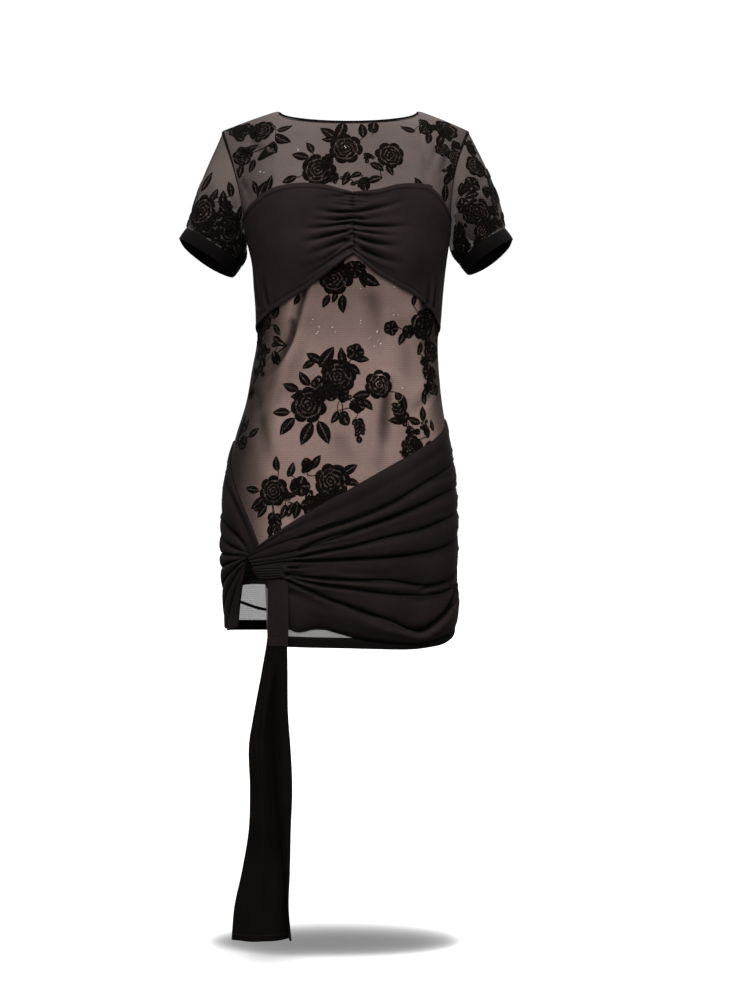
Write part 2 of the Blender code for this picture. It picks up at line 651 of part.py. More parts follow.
def wrap_back(finish):
    """The back of the wrap. The folds that cross the side seams run on into it and fade out."""
    columns = np.linspace(-1, 1, WRAP_BACK_ACROSS + 1)
    top, low = read_table(WRAP_BACK, "column", columns, ("top", "low"))
    up = np.linspace(0, 1, WRAP_BACK_UP + 1)[:, None]
    height = low + (top - low) * up
    column = columns + 0 * up
    left_heights = column_of(SIDE_LINES, "far_height")[:SIDE_SEAM_LINES][::-1]
    left_line = SIDE_SEAM_LINES - 1 - np.interp(height, left_heights, np.arange(SIDE_SEAM_LINES))
    right_heights = column_of(WRAP_LINES, "heights")[:, -1]
    right_line = np.interp(height, right_heights, np.arange(len(right_heights)))
    left_fade = np.clip(1 - (column + 1) / SEAM_FOLD_REACH, 0, 1)
    right_fade = np.clip(1 - (1 - column) / SEAM_FOLD_REACH, 0, 1)
    lift = WRAP_LIFT + 0 * column
    at_seam = np.ones_like(column)
    lift = lift + left_fade ** SEAM_FOLD_FADE * crest(SIDE_CRESTS, left_line, at_seam)
    lift = lift + right_fade ** SEAM_FOLD_FADE * crest(WRAP_CRESTS, right_line, at_seam, SWAG_SKEW)
    shell("wrap_back", BACK, column, height, lift, JERSEY, finish)


def tie_loop(finish):
    share = np.linspace(0, 1, LOOP_ACROSS + 1)
    edges = [across_lines(column_of(LOOP, name), share * (len(LOOP) - 2)) for name in LOOP[0]]
    low_column, low, top_column, top = edges
    up = np.linspace(0, 1, LOOP_UP + 1)[:, None]
    column = low_column + (top_column - low_column) * up
    height = low + (top - low) * up
    bulge = LOOP_BULGE + (LOOP_RIGHT_BULGE - LOOP_BULGE) * share
    lift = LOOP_LIFT + bulge * np.sin(np.pi * up)
    shell("tie_loop", FRONT, column, height, lift, JERSEY, finish)


def hanging(x, z, lift, forward):
    """Points in front of the skirt, which below the skirt hang straight down from it."""
    held = np.maximum(z, SASH_FREE)
    free = np.clip((SASH_FREE - z) / SASH_RAMP, 0, 1) * SASH_FLAT
    column = column_at(x + (SASH_MIDDLE - x) * free, held)
    points = cloth(FRONT, column, held, lift)
    points[..., 0] = x
    points[..., 1] -= forward
    points[..., 2] = z
    return points


def tab(finish):
    rows = np.linspace(*column_of(TAB, "height")[[0, -1]], TAB_DOWN + 1)[:, None]
    left, right = read_table(TAB, "height", rows, ("left", "right"))
    share = np.linspace(0, 1, TAB_ACROSS + 1)[None, :]
    x = left + (right - left) * share
    z = rows + 0 * share
    inner = hanging(x, z, TAB_LIFT + 0 * x, 0.0)
    outer = hanging(x, z, TAB_LIFT + 0 * x, JERSEY)
    wall("tie_short_end", inner, outer, finish)


def sash(finish):
    """The long end: a wide leaf, a deep fold, and a narrow leaf at its right."""
    rows = np.linspace(*column_of(SASH, "height")[[0, -1]], SASH_DOWN + 1)[:, None]
    left, fold, right = read_table(SASH, "height", rows, ("left", "fold", "right"))
    wide = np.linspace(0, 1, SASH_WIDE_STEPS + 1)[None, :]
    narrow = np.linspace(0, 1, SASH_NARROW_STEPS + 1)[None, 1:]
    x = np.concatenate([left + (fold - left) * wide, fold + (right - fold) * narrow], axis=1)
    free = np.clip((SASH_FREE - rows) / SASH_RAMP, 0, 1)
    free = free * free * (3 - 2 * free)
    leaf = SASH_BULGE * np.maximum(np.sin(np.pi * wide), 0) - SASH_FOLD_DEPTH * wide ** 6
    slip = SASH_NARROW_BULGE * np.sin(np.pi * narrow) - SASH_FOLD_DEPTH * (1 - narrow) ** 2
    forward = np.concatenate([leaf + 0 * rows, slip + 0 * rows], axis=1) * free
    z = rows + 0 * x
    inner = hanging(x, z, SASH_LIFT + 0 * x, forward)
    outer = hanging(x, z, SASH_LIFT + 0 * x, forward + JERSEY)
    wall("tie_long_end", inner, outer, finish)


def main():
    for made in list(bpy.data.objects):
        bpy.data.objects.remove(made, do_unlink=True)
    net = material("flocked_net", NET_LOOK)
    sheer = material("sheer_net", SHEER_LOOK)
    jersey = material("jersey", JERSEY_LOOK)
    trim = material("net_hem", HEM_LOOK)
    net_front(net)
    net_back(net)
    hem_band("hem_band_front", FRONT, NET_CUT_COLUMN, trim)
    hem_band("hem_band_back", BACK, -1, trim)
    for row in SLEEVES[1:]:
        sleeve(row, sheer, trim)
    neck_binding(jersey)
    bust_half("left", -1, jersey)
    bust_half("right", 1, jersey)
    wrap_front(jersey)
    wrap_side(jersey)
    wrap_back(jersey)
    tie_loop(jersey)
    tab(jersey)
    sash(jersey)


main()
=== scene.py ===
"""The looks of the party dress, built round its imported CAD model, in metres.

A place on the dress is a column and a height, as in the CAD source. The column is 0 at the centre and -1 or 1
at a side seam. The height is z up to the armpit, and above it the same scale goes on to the shoulder line.
"""

import bpy
import numpy as np
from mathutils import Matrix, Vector

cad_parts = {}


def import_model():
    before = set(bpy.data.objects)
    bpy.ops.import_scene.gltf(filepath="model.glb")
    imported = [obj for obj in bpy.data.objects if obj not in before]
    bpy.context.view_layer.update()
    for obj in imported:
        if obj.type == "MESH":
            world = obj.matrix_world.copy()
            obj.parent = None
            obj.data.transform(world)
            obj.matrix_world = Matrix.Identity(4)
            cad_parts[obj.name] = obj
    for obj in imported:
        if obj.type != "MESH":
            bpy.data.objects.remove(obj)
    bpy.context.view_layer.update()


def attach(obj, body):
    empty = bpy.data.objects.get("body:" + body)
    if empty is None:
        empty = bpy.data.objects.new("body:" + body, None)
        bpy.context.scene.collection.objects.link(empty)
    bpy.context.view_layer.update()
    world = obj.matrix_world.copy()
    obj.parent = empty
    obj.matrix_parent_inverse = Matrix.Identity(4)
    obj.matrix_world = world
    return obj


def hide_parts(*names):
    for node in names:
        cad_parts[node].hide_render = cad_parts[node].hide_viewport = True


FRONT = -1
BACK = 1

# Driving sizes of the body, in metres.
LEFT_SHOULDER = 0.1940      # shoulder tip from the centre line
RIGHT_SHOULDER = 0.1845
SHOULDER_DROP = 0.030       # shoulder tip below the neck point
HALF_NECK = 0.1085          # neck point from the centre line
NECK_REACH = {FRONT: 0.062, BACK: 0.050}
NECK_DROP = {FRONT: 0.031, BACK: 0.005}
NECK_COLUMN = 0.56          # the column that ends at the neck point
ARMPIT = -0.192
SHOULDER_LINE = -0.002      # height of the shoulder line on the height scale
SHOULDER_CURVE = 1.15       # exponent of the shoulder's fall, where 1 is a straight line
ARCH_POWER = 0.8            # exponent that flattens the armhole's bow and the neckline's dip
SCYE_BOW = {FRONT: 0.050, BACK: 0.044}      # how far an armhole seam bows forward or backward
LEFT_SCYE_INSET = 0.006     # how far the armhole seam curves in towards the chest
RIGHT_SCYE_INSET = 0.010
SCYE_INSET_HIGH = 1.4       # above 1, this moves the deepest inset up the armhole
SQUARENESS = 2.3            # exponent of each body section, where 2 is an ellipse

# Sections of the body, from hem to armpit.
SECTIONS = (
    ("height", "centre", "half_width", "front", "back"),
    (-0.840, -0.0110, 0.1740, 0.1040, 0.1020),
    (-0.790, -0.0120, 0.1760, 0.1050, 0.1050),
    (-0.730, -0.0135, 0.1775, 0.1060, 0.1120),
    (-0.660, -0.0140, 0.1785, 0.1070, 0.1170),
    (-0.600, -0.0135, 0.1770, 0.1060, 0.1160),
    (-0.550, -0.0125, 0.1725, 0.1030, 0.1130),
    (-0.500, -0.0105, 0.1620, 0.0990, 0.1070),
    (-0.450, -0.0070, 0.1500, 0.0950, 0.0980),
    (-0.400, -0.0050, 0.1430, 0.0900, 0.0880),
    (-0.350, -0.0015, 0.1380, 0.0880, 0.0810),
    (-0.320, 0.0000, 0.1390, 0.0920, 0.0820),
    (-0.275, 0.0005, 0.1420, 0.1040, 0.0870),
    (-0.235, 0.0010, 0.1460, 0.1120, 0.0910),
    (-0.192, -0.0010, 0.1545, 0.1080, 0.0930),
)

# Cloth and seams.
NET = 0.0010                # wall of the flocked net
HEM_WALL = 0.0016           # wall of a turned net hem
SEAM_GAP = 0.0003           # between pieces that meet at a seam
HEM_DEPTH = 0.016           # turned hem of the skirt
CUFF_DEPTH = 0.018          # turned hem of a sleeve
BINDING = 0.0026            # neck binding, across
OVERLAY_LIFT = 0.0024       # inner face of the bust overlay above the inner face of the net
WRAP_LIFT = 0.0022          # inner face of the wrap above the inner face of the net
LOOP_LIFT = 0.0046          # inner face of the loop that holds the gathers
SASH_LIFT = 0.0058          # inner face of the long end
TAB_LIFT = 0.0080           # inner face of the short end, which lies over it
BUST_WALL = 0.0009          # walls of the jersey pieces
WRAP_WALL = 0.0011
LOOP_WALL = 0.0012
INNER_FOLD_WALL = 0.0010
TAB_WALL = 0.0013
SASH_WALL = 0.0012
LOWEST_DENT = -0.0008       # a crease dips no further than this below the wrap's own level

# Hem of the skirt.
HEM = (
    ("column", "front", "back"),
    (-1.00, -0.802, -0.802),
    (-0.50, -0.815, -0.808),
    (0.00, -0.819, -0.811),
    (0.50, -0.821, -0.808),
    (0.85, -0.808, -0.800),
    (1.00, -0.794, -0.794),
)
NET_CUT_COLUMN = -0.390     # the front net is cut away left of this column
NET_CUT_HEIGHT = -0.690     # and below this height, under the tie

# Sleeves: middle of the cuff's free edge, its half width and half depth, and its slope.
SLEEVES = (
    ("name", "side", "across", "height", "half_width", "half_depth", "slope_deg"),
    ("left", -1, -0.2180, -0.2240, 0.0500, 0.0560, 32.0),
    ("right", 1, 0.2170, -0.2220, 0.0430, 0.0600, 34.0),
)
SLEEVE_BACK_DROP = 0.009    # the back half of a cuff hangs this much lower
SLEEVE_ROUND = 0.006        # how far the sleeve's middle stands out from a straight line

# Edges of the bust overlay. The column is counted from the centre seam to the side seam.
BUST = (
    ("column", "left_top", "left_low", "right_top", "right_low"),
    (0.00, -0.1330, -0.2350, -0.1330, -0.2350),
    (0.12, -0.1215, -0.2602, -0.1300, -0.2590),
    (0.26, -0.1188, -0.2826, -0.1216, -0.2755),
    (0.44, -0.1267, -0.3008, -0.1225, -0.2913),
    (0.64, -0.1418, -0.3186, -0.1330, -0.3120),
    (0.84, -0.1565, -0.3325, -0.1560, -0.3335),
    (1.00, -0.1660, -0.3420, -0.1710, -0.3420),
)
BUST_SEAM_COLUMN = 0.022    # the centre seam lies a little right of the middle
BUST_SEAM_GAP = 0.0004      # half the gap there, in columns

# Fold lines of the front wrap, lowest first: column where the line leaves the tie, then its height there
# and at each station to the right, up to the side seam.
WRAP_STATIONS = (-0.24, -0.07, 0.06, 0.23, 0.44, 0.64, 1.00)
WRAP_LINES = (
    ("start", "start_height", "heights"),
    (-0.400, -0.7167, (-0.7905, -0.7903, -0.8040, -0.8120, -0.8150, -0.8085, -0.7900)),
    (-0.414, -0.7118, (-0.7190, -0.7404, -0.7597, -0.7767, -0.7955, -0.7731, -0.7378)),
    (-0.432, -0.7066, (-0.7141, -0.7233, -0.7314, -0.7379, -0.7408, -0.7383, -0.7223)),
    (-0.450, -0.7015, (-0.7080, -0.7136, -0.7166, -0.7170, -0.7258, -0.7246, -0.6944)),
    (-0.469, -0.6975, (-0.6902, -0.6891, -0.6868, -0.6842, -0.6785, -0.6702, -0.6479)),
    (-0.487, -0.6935, (-0.6857, -0.6764, -0.6660, -0.6530, -0.6426, -0.6294, -0.6138)),
    (-0.501, -0.6888, (-0.6768, -0.6630, -0.6452, -0.6269, -0.6059, -0.5901, -0.5781)),
    (-0.510, -0.6848, (-0.6589, -0.6452, -0.6285, -0.6068, -0.5780, -0.5585, -0.5400)),
    (-0.505, -0.6790, (-0.6351, -0.6051, -0.5784, -0.5508, -0.5250, -0.5062, -0.4743)),
)
# Height of the crest between each fold line and the next, lowest first.
WRAP_CRESTS = (
    ("near_tie", "middle", "side"),
    (0.0004, 0.0070, 0.0080),
    (0.0005, 0.0030, 0.0030),
    (0.0005, 0.0025, 0.0020),
    (0.0005, 0.0035, 0.0040),
    (0.0006, 0.0035, 0.0050),
    (0.0006, 0.0030, 0.0035),
    (0.0006, 0.0035, 0.0040),
    (0.0004, 0.0015, 0.0025),
)
SWAG_SKEW = 1.7             # moves the lowest crest, the swag roll, up against its trough

# Fold lines of the side wrap, from its upper edge down to the free edge of the hanging end: column and
# height at the tie, half way and at the far end.
SIDE_LINES = (
    ("near", "near_height", "middle", "middle_height", "far", "far_height"),
    (-0.430, -0.6640, -0.640, -0.5880, -1.000, -0.5080),
    (-0.465, -0.6720, -0.660, -0.6020, -1.000, -0.5530),
    (-0.485, -0.6755, -0.670, -0.6460, -1.000, -0.6150),
    (-0.500, -0.6785, -0.700, -0.6670, -1.000, -0.6480),
    (-0.510, -0.6810, -0.720, -0.6820, -1.000, -0.6800),
    (-0.516, -0.6832, -0.720, -0.6950, -1.000, -0.7050),
    (-0.521, -0.6852, -0.710, -0.7110, -1.000, -0.7400),
    (-0.525, -0.6872, -0.700, -0.7290, -1.000, -0.7880),
    (-0.527, -0.6893, -0.655, -0.7400, -0.830, -0.7960),
    (-0.526, -0.6915, -0.585, -0.7350, -0.647, -0.7905),
)
SIDE_CRESTS = (
    ("near_tie", "middle", "side"),
    (0.0003, 0.0012, 0.0015),
    (0.0005, 0.0032, 0.0040),
    (0.0005, 0.0036, 0.0050),
    (0.0005, 0.0040, 0.0065),
    (0.0005, 0.0040, 0.0065),
    (0.0005, 0.0044, 0.0050),
    (0.0005, 0.0044, 0.0030),
    (0.0005, 0.0040, 0.0025),
    (0.0005, 0.0030, 0.0030),
)
SIDE_SEAM_LINES = 8         # this many fold lines of the side wrap reach the side seam

# Edges of the back wrap.
WRAP_BACK = (
    ("column", "top", "low"),
    (-1.00, -0.5080, -0.7520),
    (-0.60, -0.5120, -0.7350),
    (-0.20, -0.5100, -0.7420),
    (0.20, -0.5030, -0.7540),
    (0.60, -0.4900, -0.7720),
    (1.00, -0.4743, -0.7900),
)

# The loop over the gathers: column, lower and upper height, left to right.
LOOP = (
    ("low_column", "low_height", "top_column", "top_height"),
    (-0.417, -0.7182, -0.476, -0.7000),
    (-0.366, -0.7172, -0.410, -0.6985),
    (-0.316, -0.7150, -0.335, -0.6975),
    (-0.268, -0.7122, -0.258, -0.6975),
)
LOOP_BULGE = 0.0030         # how far the loop stands out half way up, at its left end
LOOP_RIGHT_BULGE = 0.0006   # and at its right end

# The short end of the tie: height, left and right place across.
TAB = (
    ("height", "left", "right"),
    (-0.7195, -0.1195, -0.0890),
    (-0.7600, -0.1195, -0.0880),
    (-0.7900, -0.1200, -0.0880),
    (-0.8160, -0.1205, -0.0890),
)

# The long end of the tie: height, left edge, deep fold and right edge across.
SASH = (
    ("height", "left", "fold", "right"),
    (-0.7200, -0.1190, -0.1040, -0.0895),
    (-0.8000, -0.1200, -0.1060, -0.0900),
    (-0.8520, -0.1285, -0.1086, -0.0895),
    (-0.9230, -0.1415, -0.1120, -0.0886),
    (-0.9600, -0.1475, -0.1115, -0.0858),
    (-1.0300, -0.1464, -0.1090, -0.0826),
    (-1.0900, -0.1482, -0.1035, -0.0848),
    (-1.1520, -0.1583, -0.0945, -0.0862),
    (-1.2080, -0.1701, -0.0910, -0.0880),
    (-1.2560, -0.1740, -0.0890, -0.0840),
)
SASH_FREE = -0.835          # below this height the long end hangs free of the skirt
SASH_MIDDLE = -0.1050       # where the long end hangs from the tie, across
SASH_FLAT = 0.85            # share of the skirt's curve that the free part loses
SASH_RAMP = 0.100           # over this height
SASH_BULGE = 0.009          # how far the wide leaf swells forward
SASH_NARROW_BULGE = 0.0045  # and the narrow one
SASH_FOLD_DEPTH = 0.013     # how deep the fold between its leaves is

# Creases of the cloth: column and height of the start, the middle and the end, then width and depth in metres.
# The places were picked on the photo and turned into places on the dress. The back's are made up.
NET_FOLDS = (
    (-0.27, -0.281, -0.4, -0.363, -0.71, -0.502, 0.0044, 0.0038),
    (-0.38, -0.331, -0.48, -0.39, -0.9, -0.471, 0.0032, 0.0028),
    (-0.3, -0.343, -0.38, -0.418, -0.52, -0.509, 0.013, 0.0015),
    (-0.75, -0.295, -0.77, -0.341, -0.79, -0.381, 0.005, 0.002),
    (0.26, -0.426, 0.22, -0.502, 0.17, -0.583, 0.0065, 0.0032),
    (0.39, -0.343, 0.43, -0.396, 0.34, -0.436, 0.012, 0.0016),
    (0.8, -0.417, 0.57, -0.449, 0.38, -0.469, 0.005, 0.0024),
    (0.62, -0.284, 0.6, -0.342, 0.71, -0.417, 0.008, 0.003),
    (0.83, -0.068, 0.76, -0.095, 0.62, -0.121, 0.005, 0.0016),
    (-0.75, -0.043, -0.67, -0.066, -0.48, -0.088, 0.006, 0.0014),
    (-0.91, -0.107, -0.83, -0.124, -0.7, -0.144, 0.004, 0.0014),
    (0.71, -0.063, 0.63, -0.092, 0.48, -0.115, 0.006, 0.0012),
    (0.13, -0.299, 0.2, -0.359, 0.23, -0.443, 0.012, 0.0016),
    (0, -0.509, 0.05, -0.538, 0.1, -0.562, 0.01, 0.0014),
    (-0.53, -0.479, -0.41, -0.523, -0.33, -0.56, 0.007, 0.0016),
    (-0.17, -0.628, -0.33, -0.598, -0.47, -0.553, 0.006, 0.0012),
    (-0.69, -0.44, -0.53, -0.479, -0.49, -0.527, 0.006, 0.0014),
)
BUST_LEFT_FOLDS = (
    (0.01, -0.138, -0.06, -0.142, -0.18, -0.143, 0.0026, 0.0007),
    (0.01, -0.168, -0.06, -0.168, -0.17, -0.161, 0.0024, 0.0019),
    (0.01, -0.18, -0.06, -0.183, -0.18, -0.179, 0.0022, 0.0017),
    (0, -0.189, -0.09, -0.193, -0.26, -0.196, 0.0026, 0.002),
    (-0.01, -0.202, -0.12, -0.209, -0.28, -0.216, 0.0028, 0.0023),
    (0.01, -0.208, -0.09, -0.223, -0.26, -0.237, 0.0028, 0.0023),
    (0, -0.216, -0.1, -0.237, -0.28, -0.255, 0.003, 0.0022),
    (0.01, -0.226, -0.12, -0.248, -0.3, -0.272, 0.0024, 0.0014),
    (-0.76, -0.303, -0.8, -0.272, -0.77, -0.237, 0.0032, 0.0012),
    (-0.61, -0.301, -0.64, -0.276, -0.64, -0.248, 0.0035, 0.001),
    (-0.01, -0.196, -0.07, -0.198, -0.17, -0.2, 0.0016, 0.0009),
)
BUST_RIGHT_FOLDS = (
    (0.02, -0.138, 0.11, -0.142, 0.24, -0.139, 0.0026, 0.0006),
    (0.03, -0.168, 0.14, -0.162, 0.38, -0.142, 0.0026, 0.0018),
    (0.03, -0.179, 0.07, -0.182, 0.12, -0.183, 0.0018, 0.0012),
    (0.03, -0.19, 0.17, -0.193, 0.41, -0.186, 0.0026, 0.002),
    (0.03, -0.2, 0.14, -0.204, 0.28, -0.205, 0.0022, 0.0016),
    (0.02, -0.207, 0.14, -0.218, 0.35, -0.219, 0.0028, 0.0023),
    (0.01, -0.215, 0.14, -0.236, 0.36, -0.244, 0.003, 0.0024),
    (0.01, -0.226, 0.12, -0.245, 0.31, -0.263, 0.0024, 0.0013),
    (0.69, -0.305, 0.69, -0.276, 0.66, -0.248, 0.0032, 0.0012),
    (0.59, -0.301, 0.6, -0.277, 0.58, -0.252, 0.0035, 0.001),
    (0.03, -0.196, 0.08, -0.197, 0.14, -0.198, 0.0014, 0.0008),
)
WRAP_FRONT_FOLDS = (
    (-0.17, -0.654, 0.17, -0.614, 0.62, -0.56, 0.0017, 0.002),
    (-0.17, -0.672, 0.17, -0.632, 0.7, -0.59, 0.0019, 0.0026),
    (-0.17, -0.683, 0.01, -0.671, 0.39, -0.645, 0.0016, 0.0022),
    (-0.2, -0.689, 0.06, -0.686, 0.53, -0.674, 0.0016, 0.0022),
    (-0.24, -0.7, -0.12, -0.699, 0.01, -0.699, 0.0013, 0.0018),
    (-0.25, -0.71, 0.01, -0.717, 0.38, -0.725, 0.0018, 0.0026),
    (-0.21, -0.715, 0.01, -0.728, 0.4, -0.74, 0.0018, 0.0024),
    (-0.23, -0.719, -0.03, -0.747, 0.28, -0.786, 0.0018, 0.0022),
    (-0.09, -0.642, 0.09, -0.621, 0.26, -0.595, 0.0013, 0.0011),
    (-0.03, -0.659, 0.12, -0.642, 0.32, -0.621, 0.0012, 0.0011),
    (0.81, -0.732, 0.62, -0.777, 0.33, -0.793, 0.0028, 0.005),
    (0.33, -0.793, 0.15, -0.776, 0.02, -0.753, 0.0026, 0.0022),
    (0.97, -0.555, 0.65, -0.566, 0.45, -0.577, 0.0024, 0.0009),
    (0.88, -0.607, 0.63, -0.617, 0.45, -0.624, 0.0026, 0.0012),
    (0.84, -0.729, 0.97, -0.755, 0.77, -0.786, 0.0032, 0.002),
    (0.81, -0.737, 0.68, -0.759, 0.51, -0.782, 0.0026, 0.0016),
    (-0.23, -0.732, -0.04, -0.757, 0.21, -0.779, 0.0036, 0.0018),
    (-0.23, -0.721, -0.07, -0.737, 0.09, -0.753, 0.0022, 0.0014),
    (-0.25, -0.707, -0.12, -0.707, -0.01, -0.704, 0.0016, 0.0013),
    (-0.24, -0.7, -0.14, -0.696, -0.03, -0.693, 0.0014, 0.0012),
    (0.45, -0.733, 0.57, -0.726, 0.81, -0.718, 0.0026, 0.0013),
    (0.36, -0.748, 0.47, -0.748, 0.63, -0.744, 0.0024, 0.001),
    (-0.17, -0.675, -0.03, -0.664, 0.15, -0.652, 0.0014, 0.0008),
    (0.02, -0.706, 0.19, -0.708, 0.45, -0.704, 0.003, 0.001),
)
WRAP_SIDE_FOLDS = (
    (-0.51, -0.677, -0.62, -0.647, -0.76, -0.623, 0.0018, 0.0012),
    (-0.52, -0.685, -0.65, -0.685, -1, -0.695, 0.0014, 0.001),
    (-0.53, -0.689, -0.65, -0.701, -0.81, -0.711, 0.0016, 0.0012),
    (-0.54, -0.692, -0.63, -0.724, -0.72, -0.751, 0.002, 0.0014),
    (-0.55, -0.696, -0.59, -0.732, -0.69, -0.779, 0.0018, 0.001),
)
BACK_FOLDS = (
    (-0.92, -0.23, -0.6, -0.275, -0.3, -0.3, 0.007, 0.0014),
    (0.9, -0.245, 0.64, -0.295, 0.26, -0.315, 0.007, 0.0016),
    (-0.9, -0.33, -0.56, -0.365, -0.18, -0.38, 0.008, 0.0014),
    (0.93, -0.35, 0.62, -0.39, 0.3, -0.4, 0.007, 0.0015),
    (-0.12, -0.43, -0.15, -0.47, -0.13, -0.498, 0.007, 0.0012),
    (0.33, -0.43, 0.35, -0.465, 0.31, -0.49, 0.006, 0.0012),
    (-0.86, -0.065, -0.78, -0.11, -0.64, -0.165, 0.006, 0.0014),
    (0.87, -0.06, 0.76, -0.105, 0.65, -0.16, 0.006, 0.0014),
    (0.05, -0.09, 0.03, -0.16, 0.08, -0.23, 0.01, 0.001),
)
BACK_WRAP_FOLDS = (
    (-0.98, -0.548, -0.6, -0.56, -0.05, -0.553, 0.0034, 0.0022),
    (0.98, -0.53, 0.56, -0.548, 0.08, -0.556, 0.0034, 0.0024),
    (-0.99, -0.59, -0.55, -0.606, -0.12, -0.6, 0.004, 0.0022),
    (0.99, -0.585, 0.5, -0.602, -0.06, -0.608, 0.0042, 0.0026),
    (-0.99, -0.635, -0.5, -0.652, 0.06, -0.648, 0.0042, 0.0024),
    (0.99, -0.634, 0.62, -0.648, 0.15, -0.656, 0.0036, 0.0022),
    (-0.99, -0.68, -0.62, -0.696, -0.16, -0.696, 0.0038, 0.0022),
    (0.99, -0.685, 0.52, -0.699, -0.04, -0.704, 0.0044, 0.0026),
    (-0.99, -0.718, -0.7, -0.725, -0.3, -0.724, 0.003, 0.0016),
    (0.99, -0.73, 0.66, -0.738, 0.22, -0.736, 0.0034, 0.0018),
)

# The tie's turned part: its sides, then its lower and upper edge from left to right.
INNER_FOLD = {"left": -0.545, "right": -0.400,
              "low": (-0.7160, -0.7165, -0.7175), "top": (-0.6860, -0.6880, -0.7000)}
TAB_HEM = -0.8030           # the stitched line of the short end
SASH_HEM = 0.009            # how far the long end's stitched line is above its lower edge

# Stitches: from one to the next, and the length of one.
HEM_STITCH = (0.0030, 0.0022)
TIE_STITCH = (0.0032, 0.0023)
NECK_STITCH = (0.0028, 0.0020)
STITCH_WIDTH = 0.00055
STITCH_RISE = 0.55 * STITCH_WIDTH
HEM_STITCH_LINES = (0.80, 0.92)     # shares of the way up the skirt's hem
CUFF_STITCH_LINES = (0.10, 0.18)    # shares of the way down a cuff

# Rolled seams: how far out from the body the middle of the roll is, its width and its height.
ARMHOLE_SEAM = (0.0006, 0.0052, 0.0024)
SHOULDER_SEAM = (0.0007, 0.0030, 0.0018)
SIDE_SEAM = (0.0008, 0.0052, 0.0022)
SLEEVE_SEAM = (0.0006, 0.0030, 0.0018)
BUST_SEAM = (NET + 0.0003, 0.0050, 0.0010)
LOW_BACK_SEAM = (NET + 0.0002, 0.0048, 0.0016)
LOW_BACK_SEAM_RISE = 0.033  # how far this seam is above the hem
SIDE_SEAM_LOW = -0.788      # height of the side seams' lower end
BUST_SEAM_HEIGHTS = (-0.2300, -0.1350)      # ends of the roll between the bust halves
ARMHOLE_STEPS = 12          # points of the armhole seam from the armpit to the shoulder
